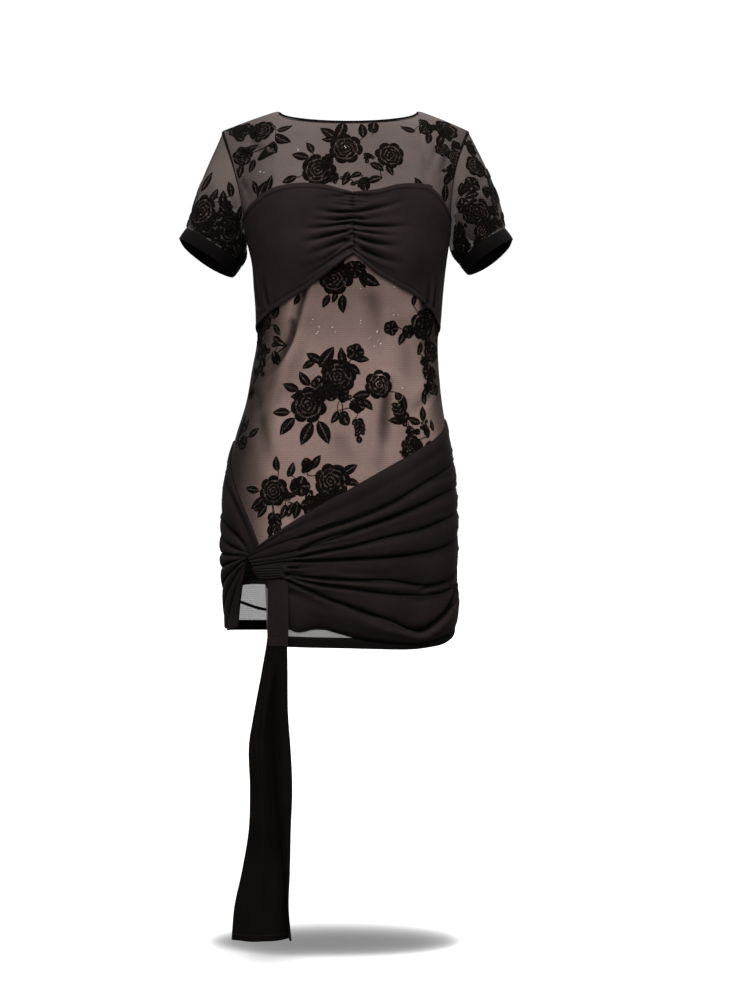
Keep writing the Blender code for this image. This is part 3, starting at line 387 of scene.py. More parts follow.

# Flocked motifs by panel and kind: place across and up, size in millimetres and turn in degrees.
# On the front the place is a column and a height, on a sleeve its turn and its share of the way down.
# The places were picked on the photo and turned into places on the dress.
MOTIFS = {
    "front": {
        "rose": (
            (-0.01, -0.052, 26, 0), (-0.15, -0.093, 26, 40), (0.23, -0.067, 22, 90),
            (-0.68, -0.034, 20, 20), (-0.84, -0.02, 17, 70), (-0.87, -0.066, 16, 0),
            (0.81, -0.021, 20, 50), (0.59, -0.032, 16, 10), (0.97, -0.061, 12, 0), (-0.07, -0.269, 24, 0),
            (-0.69, -0.328, 14, 10), (-0.71, -0.374, 14, 60), (-0.79, -0.435, 11, 0), (0.6, -0.338, 19, 0),
            (0.72, -0.374, 16, 30), (0.74, -0.429, 12, 0), (-0.03, -0.414, 26, 0), (-0.19, -0.457, 27, 60),
            (0.2, -0.426, 22, 100), (0.41, -0.518, 17, 20), (-0.34, -0.585, 23, 0), (-0.03, -0.57, 26, 40),
            (-0.69, -0.512, 11, 0), (0.56, -0.334, 22, 0), (-0.87, -0.339, 12, 0), (0.65, -0.323, 15, 0),
            (-0.89, -0.014, 14, 0), (0.79, -0.059, 12, 0),
        ),
        "leaf": (
            (-0.1, -0.023, 16, 140), (-0.04, -0.014, 19, 75), (-0.09, -0.034, 12, 185),
            (0.07, -0.017, 14, 95), (-0.26, -0.07, 14, 165), (-0.2, -0.053, 11, 120),
            (0.04, -0.102, 9, 200), (0.14, -0.111, 12, 20), (0.15, -0.088, 12, 330),
            (0.23, -0.093, 11, 290), (-0.34, -0.113, 12, 200), (-0.01, -0.108, 12, 250),
            (-0.43, -0.045, 17, 330), (-0.55, -0.067, 14, 300), (-0.4, -0.024, 12, 20),
            (-0.97, -0.002, 11, 160), (-0.77, -0.059, 12, 40), (-0.92, -0.09, 11, 260),
            (-0.62, -0.132, 16, 60), (-0.55, -0.124, 14, 75), (-0.72, -0.124, 11, 110),
            (0.36, -0.023, 12, 160), (0.76, -0.046, 14, 240), (0.63, -0.049, 12, 250),
            (1.0, -0.088, 14, 260), (0.47, -0.125, 14, 120), (0.56, -0.133, 12, 60),
            (0.82, -0.128, 14, 90), (0.12, -0.27, 17, 330), (0.07, -0.272, 12, 290),
            (-0.12, -0.302, 11, 240), (-0.02, -0.306, 14, 270), (-0.07, -0.296, 9, 250),
            (-0.55, -0.31, 12, 60), (-0.49, -0.359, 14, 330), (-0.5, -0.385, 14, 300),
            (-0.73, -0.41, 14, 250), (-0.33, -0.298, 9, 70), (0.38, -0.356, 12, 240),
            (0.55, -0.37, 11, 250), (0.59, -0.442, 14, 270), (-0.18, -0.386, 14, 150),
            (-0.1, -0.385, 19, 55), (-0.21, -0.396, 12, 210), (-0.01, -0.384, 14, 100),
            (0.09, -0.389, 11, 0), (0.04, -0.404, 14, 330), (-0.23, -0.417, 14, 130),
            (-0.33, -0.429, 14, 160), (-0.37, -0.468, 14, 180), (-0.3, -0.489, 17, 230),
            (-0.17, -0.5, 19, 245), (-0.08, -0.498, 19, 295), (0.12, -0.457, 12, 320),
            (0.09, -0.443, 14, 190), (-0.03, -0.475, 11, 240), (-0.27, -0.444, 11, 180),
            (0.38, -0.454, 12, 95), (0.45, -0.479, 12, 160), (0.54, -0.469, 12, 85),
            (0.32, -0.48, 14, 180), (0.56, -0.494, 12, 100), (0.55, -0.519, 12, 60),
            (0.63, -0.486, 9, 100), (-0.33, -0.544, 12, 100), (-0.24, -0.553, 12, 70),
            (-0.5, -0.583, 12, 170), (-0.45, -0.603, 14, 220), (-0.1, -0.542, 12, 60),
            (0.04, -0.553, 14, 30), (0.05, -0.573, 12, 350), (-0.2, -0.613, 14, 260),
            (-0.27, -0.616, 12, 250), (-0.41, -0.616, 12, 230), (-0.79, -0.484, 14, 80),
            (-0.58, -0.497, 11, 40), (-0.54, -0.314, 12, 62), (-0.52, -0.342, 11, -50),
            (-0.52, -0.364, 9, 5), (0.46, -0.298, 9, 80), (-0.23, -0.613, 12, 65), (-0.43, -0.609, 11, 30),
            (-0.34, -0.628, 8, 40), (-0.35, -0.642, 9, 70), (-0.72, -0.486, 12, 60),
            (-0.88, -0.031, 12, 150), (-0.77, -0.088, 11, 250), (0.69, -0.027, 12, 20),
            (0.86, -0.103, 12, 70),
        ),
        "bud": (
            (0.13, -0.013, 14, 80), (0.08, -0.117, 14, 280), (0.67, -0.36, 12, 250),
            (0.01, -0.476, 14, 300), (-0.15, -0.548, 14, 95),
        ),
        "flower": (
            (0.03, -0.256, 14, 30), (0.28, -0.341, 12, 20), (0.43, -0.345, 11, 0), (0.66, -0.406, 14, 50),
            (-0.06, -0.436, 16, 0), (0.0, -0.439, 14, 60), (0.05, -0.378, 14, 80), (0.07, -0.458, 12, 0),
            (-0.18, -0.578, 16, 0), (-0.12, -0.607, 16, 20), (-0.03, -0.598, 14, 60),
        ),
        "stem": (
            (-0.02, -0.455, 19, 285),
        ),
        "sprig": (
            (0.07, -0.491, 16, 280), (0.36, -0.464, 19, 110), (-0.34, -0.634, 19, 265),
            (0.07, -0.113, 12, 200),
        ),
        "mass": (
            (-0.12, -0.433, 19, 0), (-0.01, -0.443, 12, 0), (0.06, -0.458, 9, 0), (-0.11, -0.446, 12, 0),
            (-0.1, -0.402, 9, 0), (-0.11, -0.082, 14, 0), (-0.06, -0.106, 11, 0), (0.1, -0.068, 9, 0),
            (-0.09, -0.068, 9, 0), (-0.77, -0.317, 14, 0), (-0.79, -0.343, 16, 0), (-0.7, -0.371, 14, 0),
            (-0.67, -0.396, 11, 0), (-0.5, -0.385, 8, 0), (0.75, -0.319, 16, 0), (0.9, -0.345, 14, 0),
            (0.62, -0.39, 12, 0), (0.72, -0.408, 12, 0), (0.64, -0.429, 14, 0), (0.82, -0.374, 11, 0),
            (-0.21, -0.58, 12, 0), (-0.25, -0.594, 11, 0), (-0.06, -0.598, 20, 0), (-0.12, -0.606, 12, 0),
            (0.0, -0.585, 16, 0), (-0.15, -0.549, 11, 0), (0.41, -0.495, 12, 0), (0.45, -0.515, 14, 0),
            (0.35, -0.531, 9, 0), (0.55, -0.49, 9, 0), (-0.03, -0.254, 12, 0), (0.07, -0.254, 9, 0),
            (-0.1, -0.263, 11, 0), (-0.87, -0.016, 14, 0), (-0.73, -0.031, 12, 0), (-0.83, -0.06, 9, 0),
            (0.82, -0.02, 11, 0), (0.94, -0.041, 11, 0), (0.66, -0.03, 9, 0), (-0.76, -0.352, 12, 0),
            (-0.7, -0.372, 12, 0), (-0.77, -0.404, 9, 0), (-0.84, -0.435, 8, 0), (-0.77, -0.504, 10, 0),
            (0.84, -0.339, 12, 0), (0.79, -0.374, 11, 0), (0.96, -0.419, 10, 0), (-0.85, -0.059, 11, 0),
            (-0.77, -0.021, 10, 0), (0.82, -0.031, 10, 0), (0.9, -0.088, 9, 0),
        ),
    },
    "left": {
        "rose": (
            (0.69, 0.75, 26, 0), (0.37, 0.63, 23, 60), (0.2, 0.46, 12, 0), (0.39, 0.48, 16, 0),
            (0.23, 0.78, 16, 30),
        ),
        "leaf": (
            (0.78, 0.47, 17, 70), (0.54, 0.41, 14, 90), (1.0, 0.63, 12, 130), (0.64, 0.5, 12, 60),
            (1.0, 0.97, 14, 210), (0.35, 0.22, 14, 80), (0.52, 0.22, 12, 100), (0.95, 0.59, 12, 60),
            (0.9, 0.74, 13, 110),
        ),
        "flower": (
            (0.48, 0.49, 12, 0), (0.5, 0.95, 12, 10),
        ),
        "mass": (
            (0.74, 0.81, 14, 0), (0.54, 0.73, 14, 0), (0.48, 0.42, 12, 0), (0.97, 0.96, 11, 0),
            (0.38, 0.65, 12, 0), (0.54, 0.97, 11, 0), (0.4, 0.97, 11, 0), (0.71, 0.99, 12, 0),
            (0.06, 0.88, 13, 0), (0.17, 0.93, 12, 0), (0.04, 0.7, 11, 0), (0.62, 0.93, 14, 0),
            (0.85, 0.87, 13, 0), (0.31, 0.92, 12, 0),
        ),
    },
    "right": {
        "rose": (
            (0.75, 0.28, 19, 0), (0.56, 0.65, 22, 50), (0.55, 0.91, 19, 0), (0.29, 0.53, 16, 20),
            (0.5, 0.57, 16, 0), (0.2, 0.76, 17, 10), (0.86, 0.64, 16, 40),
        ),
        "flower": (
            (0.62, 0.35, 14, 30), (0.46, 0.36, 12, 0), (0.17, 0.93, 12, 0),
        ),
        "leaf": (
            (0.81, 0.12, 16, 90), (0.54, 0.27, 12, 240), (0.79, 0.72, 14, 280), (0.57, 0.42, 12, 200),
            (0.82, 0.53, 12, 80), (1.0, 0.68, 9, 250), (0.52, 0.23, 11, 90),
        ),
        "mass": (
            (0.81, 0.33, 12, 0), (0.73, 0.55, 14, 0), (0.74, 0.81, 14, 0), (0.75, 0.99, 12, 0),
            (0.58, 0.85, 12, 0), (0.82, 0.12, 11, 0), (0.32, 0.75, 11, 0), (0.42, 0.98, 11, 0),
            (0.35, 0.49, 11, 0), (0.06, 0.88, 13, 0), (0.16, 0.93, 12, 0), (0.66, 0.93, 13, 0),
            (0.88, 0.88, 13, 0), (0.93, 0.45, 11, 0), (0.3, 0.93, 12, 0),
        ),
    },
}

# Silver specks caught in the net: columns and heights.
SPECKS = (
    (-0.18, -0.348), (-0.07, -0.345), (0.05, -0.334), (0.07, -0.288), (0.29, -0.281), (0.29, -0.321),
    (0.17, -0.348), (0.21, -0.364), (0.38, -0.435), (-0.21, -0.332), (-0.17, -0.341), (0.12, -0.356),
    (0.18, -0.363), (-0.65, -0.103), (-0.26, -0.057), (-0.01, -0.049),
)

# Flock.
PILE, GROUND = 0, 1         # its two layers: the raised petals, and the thin flock between them
FLOCK_LAYERS = ("pile", "ground")
PILE_RISE = 0.0007          # height of a petal's middle
PILE_EDGE = 0.00015         # and of its edge
GROUND_RISE = 0.00012
STEM_RISE = 0.0005
STEM_HALF = 0.0006          # half the width of a stem
STEM_REACH = 0.050          # a leaf further than this from a flower has no stem to it
TIED_KINDS = ("leaf", "bud", "flower", "sprig")
PANEL_LIMITS = (-0.995, 0.995, -0.83, SHOULDER_LINE - 0.001)        # the flock's columns and heights
SLEEVE_LIMITS = (-0.4, 2.4, 0.01, 0.97)     # the flock's turns, and its shares of the way down a sleeve
BACK_SHIFT = 0.06           # columns by which the back's flowers are shifted
BACK_RISE = 0.195           # on the back the waist's flowers are repeated this much higher
WAIST_FLOWERS = -0.30       # and they begin below this height
BACK_LOWEST = -0.535        # flowers below this are under the back wrap

RNG = np.random.default_rng(7)

# Grid steps of the cloth that shows.
REFINE = 6                  # columns of net between two columns of the CAD source
OUTER_STEPS = 4             # the CAD's columns between a neck point and the side
FRONT_NECK_STEPS = (2, 11)  # and those between the neck points, before and after the cut
BACK_NECK_STEPS = 11
FOLD_STEPS = 12             # rows from one fold line to the next
TINY = 1e-4                 # a small step, for slopes

# How the cloth lies: folds, gathers and waves in metres, and how deep a hollow is for its colour to be painted
# fully shaded.
EDGE_ROLL = 0.0005          # how far a turned edge stands up
BUST_EDGE_ROLL = 0.0006
EDGE_GROOVE = 0.0005        # and how deep the stitched groove behind it is
BUST_EDGE = 0.008           # width of the bust's turned edges
BUST_LOW_EDGE = 0.0075
BACK_EDGE = 0.008           # and of the back wrap's
BACK_LOW_EDGE = 0.012
BUST_RISE = 0.0022          # the overlay's open cloth above its level
BUST_LOWEST = 0.0016        # and its lowest crease, above the body
BUST_SIDE_LIFT = 0.0011     # the overlay's lift in the side seam
BUST_GATHERS = 17
BUST_GATHER = 0.0016
BUST_SEAM_DEPTH = 0.0020
BUST_SHADE_DEPTH = 0.0013
CALM_LOSS = 0.62            # share of its height that a fold loses up to the side seam
VALLEY_DEPTH = 0.0009       # how far a fold line is drawn in
PLEAT_RISE = 0.0012         # pleats of the wrap where it leaves the tie
SWAG_HEM_ROLL = 0.0009
SWAG_HEM_GROOVE = 0.0013
SIDE_HEM_ROLL = 0.0006
WRAP_FRONT_SHADE_DEPTH = 0.0021
WRAP_SIDE_SHADE_DEPTH = 0.0018
WRAP_BACK_SHADE_DEPTH = 0.0026
BACK_FOLD_REACH = {"left": 0.9, "right": 1.0}       # columns over which the side folds fade out at the back
BACK_FOLD_FADE = 1.5        # exponent of their fading
LOOP_PLEATS = 5.5
LOOP_PLEAT_RISE = 0.0019
LOOP_SHADE_DEPTH = 0.0016
INNER_FOLD_LIFT = 0.0012
INNER_FOLD_PLEAT = 0.0008
TAB_SWAY = 0.0007
TAB_GROOVE = 0.0004
SASH_RIPPLE = 0.0016
SASH_CREASE = 0.0030
SASH_PINCH = 0.0016
SASH_GATHER = 0.0012        # where the tie holds it
HEM_LIFT = -0.0004
HEM_WAVE = 0.0005
HEM_SWELL = 0.0003
CUFF_WAVE = 0.0008
CUFF_OVERLAP = 0.0012       # how far a cuff reaches over the sleeve's net
SLEEVE_RIPPLE = 0.0012
SLEEVE_CROWN = {"left": 0.0, "right": 0.0055}       # how far a sleeve's top stands up
SIDE_SHADE_FROM_LEFT = 0.62        # share of the way out to the left side from which the net's colour is darkened as painted shade
SIDE_SHADE_FROM = 0.74             # the same on the right and at the back
NET_DENT = 1.6              # how much deeper than in their tables the creases of the net are
FULL_SHADE_DENT = 0.0050          # a crease of the net this deep has its colour painted fully shaded
UNDER_BUST = -0.255         # around this height the net lies in the shade of the bust overlay
BUST_DENT = 1.9
WRAP_DENT = 1.4
BACK_DENT = 1.6
SIDE_CALM = 0.55            # from this share on the folds flatten towards the side seam
CREST_GROWTH = 1.35         # the folds stand this much fuller than the CAD's
CREASE_REACH = 0.165        # metres from the centre to a side seam, used for lengths across
EVEN_CLOTH_SHADE = 0.35           # the painted shade given to the jersey where it lies even

# Camera, light and floor.
CAMERA_PLACE = (0.0301, -2.5291, -0.5718)
CAMERA_TILT = 0.488         # degrees down
CAMERA_LENS = 59.22
FLOOR = -1.300
FLOOR_GLOW = 0.20
SHADOW_CARD = (-0.022, 0.048, 0.204, 0.092, -1.270)     # middle, half sizes and height of the card
MAIN_LIGHT = (0.0, -0.60, 0.80), 4.0, 4.0       # where the soft light comes from, how narrow and how strong
BACK_LIGHT = (0.10, 0.85, 0.50), 5.0, 2.4
BASE_LIGHT = 0.09
SEEN_LIGHT = 1.04           # the background as the camera sees it
KEY_PLACE = (-0.7, -2.4, 1.5)
KEY_AIM = (0, 0, -0.45)
KEY_POWER = 10.0
KEY_SIZE = 1.1


def column_of(table, name):
    """The named column of a table, whose first row holds the names."""
    place = table[0].index(name)
    return np.array([row[place] for row in table[1:]])


def read_table(table, key, at, names):
    """Smooth curves through the named columns over the key column, read at these places."""
    places = column_of(table, key)
    order = np.argsort(places)
    return [smooth(at, places[order], column_of(table, name)[order]) for name in names]


def smooth(x, places, values):
    """A smooth curve through the values at these places, read at x."""
    places = np.asarray(places, float)
    values = np.asarray(values, float)
    slopes = np.gradient(values, places)
    i = np.clip(np.searchsorted(places, x) - 1, 0, len(places) - 2)
    run = places[i + 1] - places[i]
    t = np.clip((x - places[i]) / run, 0, 1)
    rise = values[i] * (1 + 2 * t) * (1 - t) ** 2 + values[i + 1] * t * t * (3 - 2 * t)
    return rise + run * t * (1 - t) * (slopes[i] * (1 - t) - slopes[i + 1] * t)


def shoulder_or_neck(side, column):
    """Where each column ends at the top: on the shoulder line, or on the neckline between the neck points."""
    out = np.sign(column)
    share = np.abs(column)
    turn = np.clip(share / NECK_COLUMN, 0, 1) * np.pi / 2
    along = np.clip((share - NECK_COLUMN) / (1 - NECK_COLUMN), 0, 1)
    tip = np.where(column < 0, LEFT_SHOULDER, RIGHT_SHOULDER)
    at_neck = share < NECK_COLUMN
    x = np.where(at_neck, HALF_NECK * np.sin(turn), HALF_NECK + (tip - HALF_NECK) * along)
    y = np.where(at_neck, NECK_REACH[side] * np.cos(turn), 0)
    drop = NECK_DROP[side] * np.maximum(np.cos(turn), 0) ** ARCH_POWER
    z = np.where(at_neck, -drop, -SHOULDER_DROP * along ** SHOULDER_CURVE)
    return out * x, y, z


def body(side, column, height):
    """Points of the inner face of the net."""
    column, height = np.broadcast_arrays(np.asarray(column, float), np.asarray(height, float))
    low = np.minimum(height, ARMPIT)
    centre, half_width, front, back = read_table(SECTIONS, "height", low, SECTIONS[0][1:])
    share = np.clip(np.abs(column), 0, 1)
    turn = share * np.pi / 2
    x = centre + np.sign(column) * half_width * np.sin(turn) ** (2 / SQUARENESS)
    y = (front if side == FRONT else back) * np.maximum(np.cos(turn), 0) ** (2 / SQUARENESS)
    up = np.clip((height - ARMPIT) / (SHOULDER_LINE - ARMPIT), 0, 1)
    top_x, top_y, top_z = shoulder_or_neck(side, column)
    rise = (ease(up) + up) / 2
    power = 1 + np.clip(share / NECK_COLUMN, 0, 1) ** 2
    fall = np.maximum(1 - up ** 2, 0) ** (1 / power)
    arch = np.maximum(np.sin(np.pi * up), 0) ** ARCH_POWER
    inset = np.where(column < 0, LEFT_SCYE_INSET, RIGHT_SCYE_INSET)
    inset = inset * share ** 3 * np.maximum(np.sin(np.pi * up ** SCYE_INSET_HIGH), 0)
    x = x + (top_x - x) * rise - np.sign(column) * inset
    y = top_y + (y - top_y) * fall + SCYE_BOW[side] * share ** 4 * arch
    z = low + (top_z - low) * up
    return np.stack([x, side * y, z], axis=-1)


def unit(vectors):
    length = np.linalg.norm(vectors, axis=-1, keepdims=True)
    return vectors / np.maximum(length, 1e-12)


def ease(share):
    """Runs from 0 to 1 and is level at both ends."""
    return share * share * (3 - 2 * share)


def bell(distance, width, power=2):
    """Is 1 at no distance and falls away over this width, more steeply with a higher power."""
    return np.exp(-np.abs(distance / width) ** power)


def outward(side, column, height):
    """Unit normals of the body, pointing out. At a side seam they lie in the plane of the seam."""
    column, height = np.broadcast_arrays(np.asarray(column, float), np.asarray(height, float))
    reach = 1 - TINY
    column = np.clip(column, -reach, reach)
    across = body(side, column + TINY, height) - body(side, column - TINY, height)
    low = np.minimum(height, SHOULDER_LINE - 2 * TINY)
    upward = body(side, column, low + TINY) - body(side, column, low - TINY)
    normal = np.cross(across, upward) * -side
    at_seam = (np.abs(column) > 1 - 2 * TINY) & (height <= ARMPIT)
    normal[..., 1] = np.where(at_seam, 0, normal[..., 1])
    return unit(normal)


def cloth(side, column, height, lift=0.0):
    """Points of a layer that lies this far out from the body, parted from the other half at the side seam."""
    points = body(side, column, height)
    points = points + outward(side, column, height) * np.asarray(lift)[..., None]
    points[..., 1] += side * SEAM_GAP / 2
    return points


def column_at(x, height):
    """The front column that lies this far across, at this height."""
    centre, half_width = read_table(SECTIONS, "height", height, ("centre", "half_width"))
    share = np.clip(np.abs(x - centre) / half_width, 0, 1)
    return np.sign(x - centre) * np.arcsin(share ** (SQUARENESS / 2)) * 2 / np.pi


def hem_height(side, column):
    return read_table(HEM, "column", column, ["front" if side == FRONT else "back"])[0]


def blend(amounts, share):
    """The near, middle and side amounts blended along a fold."""
    near, middle, far = amounts[..., 0], amounts[..., 1], amounts[..., 2]
    first = ease(np.clip(share * 2, 0, 1))
    second = ease(np.clip(share * 2 - 1, 0, 1))
    return near + (middle - near) * first + (far - middle) * second


def across_lines(values, line):
    return smooth(line, np.arange(len(values)), values)


def wrap_front_grid(lines, across):
    """Column and height of each point of the front wrap, for fold line numbers and shares across."""
    line, share = np.meshgrid(lines, across, indexing="ij")
    start = across_lines(column_of(WRAP_LINES, "start"), line)
    column = start + (1 - start) * share
    heights = [column_of(WRAP_LINES, "start_height"), *column_of(WRAP_LINES, "heights").T]
    heights = [across_lines(values, line) for values in heights]
    height = np.zeros_like(line)
    for i in range(line.shape[0]):
        places = [start[i, 0], *WRAP_STATIONS]
        height[i] = smooth(column[i], places, [values[i, 0] for values in heights])
    return line, share, column, height


def through(start, middle, end, share):
    """A curve that starts at one value, passes the middle one half way, and ends at the last."""
    turn = 2 * middle - (start + end) / 2
    return start * (1 - share) ** 2 + 2 * turn * share * (1 - share) + end * share ** 2


def armhole(side_sign):
    """The armhole seam as a loop of points and normals: up the front from the armpit, then down the back."""
    share = np.linspace(0, 1, ARMHOLE_STEPS + 1)
    heights = ARMPIT + (SHOULDER_LINE - ARMPIT) * (1 - np.cos(share * np.pi)) / 2
    front = body(FRONT, side_sign, heights)
    back = body(BACK, side_sign, heights)
    front_out = outward(FRONT, side_sign, heights)
    back_out = outward(BACK, side_sign, heights)
    for ends in (0, -1):
        joined = front_out[ends] + back_out[ends]
        front_out[ends] = joined / np.linalg.norm(joined)
    points = np.concatenate([front, back[-2:0:-1]])
    normals = np.concatenate([front_out, back_out[-2:0:-1]])
    return points, normals


def hanging(x, z, lift, forward):
    """Points in front of the skirt, which below the skirt hang straight down from it."""
    held = np.maximum(z, SASH_FREE)
    free = np.clip((SASH_FREE - z) / SASH_RAMP, 0, 1) * SASH_FLAT
    column = column_at(x + (SASH_MIDDLE - x) * free, held)
    points = cloth(FRONT, column, held, lift)
    points[..., 0] = x
    points[..., 1] -= forward
    points[..., 2] = z
    return points


def mesh_object(name, points, faces, finish, slot):
    """A piece of the dress that rides on its one body."""
    data = bpy.data.meshes.new(name)
    data.from_pydata(points.tolist(), [], faces.tolist())
    data.materials.append(finish)
    data.shade_smooth()
    data.set_sharp_from_angle(angle=np.radians(60))
    made = bpy.data.objects.new(name, data)
    bpy.context.scene.collection.objects.link(made)
    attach(made, "root")
    return made


def grid_faces(rows, columns, round_wise=False):
    """The four-cornered faces of a grid of points, which can close into a ring."""
    across = columns if round_wise else columns - 1
    i, j = np.meshgrid(np.arange(rows - 1) * columns, np.arange(across), indexing="ij")
    k = (j + 1) % columns
    return np.stack([i + j, i + k, i + columns + k, i + columns + j], axis=-1).reshape(-1, 4)


def closed_wall(inner, outer, round_wise=False):
    """Points and faces of a closed wall between two grids."""
    rows, columns = inner.shape[:2]
    count = rows * columns
    points = np.concatenate([outer.reshape(-1, 3), inner.reshape(-1, 3)])
    out = grid_faces(rows, columns, round_wise)
    back = out[:, ::-1] + count
    index = np.arange(count).reshape(rows, columns)
    edges = [index[0], index[-1][::-1]]
    if round_wise:
        edges = [np.append(index[0], index[0][0]), np.append(index[-1], index[-1][0])[::-1]]
    else:
        edges += [index[:, 0][::-1], index[:, -1]]
    rims = [np.stack([e[1:], e[:-1], e[:-1] + count, e[1:] + count], axis=-1) for e in edges]
    faces = np.concatenate([out, back, *rims])
    corners = points[faces]
    normals = np.cross(corners[:, 1] - corners[:, 0], corners[:, 2] - corners[:, 0])
    if np.einsum("ij,ij->", corners[:, 0], normals) < 0:
        faces = faces[:, ::-1]
    return points, faces


def shade(made, values):
    """Keeps at each point how much painted shade darkens the cloth's colour: 0 is none, 1 is full, as deep in
    a fold or near a seam.
    """
    attribute = made.data.attributes.new("painted_shade", "FLOAT", "POINT")
    attribute.data.foreach_set("value", np.clip(values, 0, 1).astype(np.float32).ravel())


def piece(name, inner, outer, finish, slot, round_wise=False, painted_shade=None):
    points, faces = closed_wall(inner, outer, round_wise)
    made = mesh_object(name, points, faces, finish, slot)
    if painted_shade is not None:
        shade(made, np.concatenate([painted_shade.ravel(), painted_shade.ravel()]))
    return made


def fold_shade_of(lift, across, along, deepest):
    """Painted shade from how deep each point lies between the folds near it, within so many rows and columns.
    """
    around = lift
    for axis, reach in ((0, across), (1, along)):
        wide = np.pad(around, [(reach, reach) if k == axis else (0, 0) for k in (0, 1)], mode="edge")
        total = np.cumsum(np.insert(wide, 0, 0, axis=axis), axis=axis)
        span = 2 * reach + 1
        around = (np.take(total, np.arange(span, total.shape[axis]), axis)
                  - np.take(total, np.arange(total.shape[axis] - span), axis)) / span
    return np.clip(EVEN_CLOTH_SHADE + (1 - EVEN_CLOTH_SHADE) * (around - lift) / deepest, 0, 1)


def jersey_piece(name, side, column, height, lift, wall, finish, painted_shade):
    """A piece of jersey that lies on the dress, its inner face this far out from the body."""
    inner = cloth(side, column, height, lift)
    outer = cloth(side, column, height, lift + wall)
    return piece(name, inner, outer, finish, "jersey", painted_shade=painted_shade)


def turned_edge(away, width, roll, end=1.12, groove_width=0.12):
    """The low roll of a turned edge, and the stitched groove behind it."""
    place = away / width
    return roll * bell(place - 0.5, 0.42, 4) - EDGE_GROOVE * bell(place - end, groove_width)


def join(parts):
    """One list of points and faces from several."""
    points, faces, first = [], [], 0
    for some, quads in parts:
        points.append(some)
        faces.append(quads + first)
        first += len(some)
    return np.concatenate(points), np.concatenate(faces)


def cord_mesh(path, normals, width, height, closed=False, steps=8):
    """A flattened roll of cloth along a path: the seams and bindings."""
    tangent = unit(np.gradient(path, axis=0))
    if closed:
        tangent = unit(np.roll(path, -1, axis=0) - np.roll(path, 1, axis=0))
    beside = unit(np.cross(normals, tangent))
    turn = np.linspace(0, 2 * np.pi, steps, endpoint=False)[:, None, None]
    ring = path + beside * np.cos(turn) * width / 2 + normals * np.sin(turn) * height / 2
    ring = ring.transpose(1, 0, 2)
    if closed:
        ring = closed_line(ring)
    return ring.reshape(-1, 3), grid_faces(len(ring), steps, True)


def closed_line(path):
    """The line with its first point once more at the end."""
    return np.concatenate([path, path[:1]])


def stitch_mesh(path, normals, stitch):
    """Short stitches laid end to end along a path."""
    pitch, length = stitch
    run = np.concatenate([[0], np.cumsum(np.linalg.norm(np.diff(path, axis=0), axis=1))])
    starts = np.arange(0, run[-1] - length, pitch)
    ends = starts + length

    def at(places, values):
        return np.stack([np.interp(places, run, values[:, k]) for k in range(3)], axis=-1)

    first, last = at(starts, path), at(ends, path)
    up = unit(at((starts + ends) / 2, normals))
    side = unit(np.cross(up, last - first)) * STITCH_WIDTH / 2
    middle = (first + last) / 2
    top = middle + up * STITCH_RISE
    points = np.stack([first, middle - side, last, middle + side, top], axis=1)
    faces = np.array([[0, 1, 4], [1, 2, 4], [2, 3, 4], [3, 0, 4]])
    triangles = faces[None] + 5 * np.arange(len(starts))[:, None, None]
    return points.reshape(-1, 3), triangles.reshape(-1, 3)


def crease_lift(column, height, table):
    """What the creases add to the lift: each is a valley with a low ridge on both sides that fades out."""
    place = np.stack([column * CREASE_REACH, height], axis=-1)
    lift = np.zeros(column.shape)
    t = np.linspace(0, 1, 25)
    for c0, h0, c1, h1, c2, h2, width, depth in table:
        ends = (np.array([c * CREASE_REACH, h]) for c, h in ((c0, h0), (c1, h1), (c2, h2)))
        line = through(*ends, t[:, None])
        far = np.full(column.shape, 1e9)
        share = np.zeros(column.shape)
        for k in range(len(t) - 1):
            step = line[k + 1] - line[k]
            along = np.clip(((place - line[k]) @ step) / (step @ step), 0, 1)
            gap = np.linalg.norm(place - line[k] - along[..., None] * step, axis=-1)
            share = np.where(gap < far, t[k] + along * (t[1] - t[0]), share)
            far = np.minimum(far, gap)
        fade = np.clip((1 - share) * 1.6, 0, 1) ** 1.2
        wide = width * (1 + 0.8 * share)
        lift += depth * fade * (0.45 * bell(far - 2.1 * wide, 1.3 * wide) - bell(far, wide, 1.5))
    return lift


def sharp_crest(table, line, share, skew_lowest=1.0):
    """Full rounded folds that meet in tight valleys at the fold lines."""
    sizes = np.array(table[1:])
    band = np.clip(np.floor(line).astype(int), 0, len(sizes) - 1)
    size = blend(sizes[band], share)
    part = line - band
    part = np.where(band == 0, part ** skew_lowest, part)
    side = np.clip((share - SIDE_CALM) / (1 - SIDE_CALM), 0, 1)
    full = CREST_GROWTH * size * (1 - CALM_LOSS * side) * np.sin(np.pi * np.clip(part, 0, 1)) ** 0.62
    valley = np.exp(-((part - 0.5) ** 2 - 0.25) ** 2 / 0.0006)
    return full - VALLEY_DEPTH * valley * np.clip(share * 6, 0, 1)


def net_columns(side):
    """The columns of the net, finer than the CAD's and with one at each corner of its edges."""
    if side == FRONT:
        places = (-1, -NECK_COLUMN, NET_CUT_COLUMN, NECK_COLUMN, 1)
        steps = (OUTER_STEPS, *FRONT_NECK_STEPS, OUTER_STEPS)
    else:
        places = (-1, -NECK_COLUMN, NECK_COLUMN, 1)
        steps = (OUTER_STEPS, BACK_NECK_STEPS, OUTER_STEPS)
    runs = [np.linspace(places[k], places[k + 1], steps[k] * REFINE + 1)[1:] for k in range(len(steps))]
    return np.concatenate([[-1.0], *runs])


def net_dents(side, column, height):
    """The creases of the net."""
    return NET_DENT * crease_lift(column, height, NET_FOLDS if side == FRONT else BACK_FOLDS)


def net_surface(side):
    """The outer face of the net at any place, with its soft folds."""
    def surface(column, height, lift=0.0):
        column, height = np.broadcast_arrays(np.asarray(column, float), np.asarray(height, float))
        return cloth(side, column, height, NET + lift + net_dents(side, column, height))
    return surface


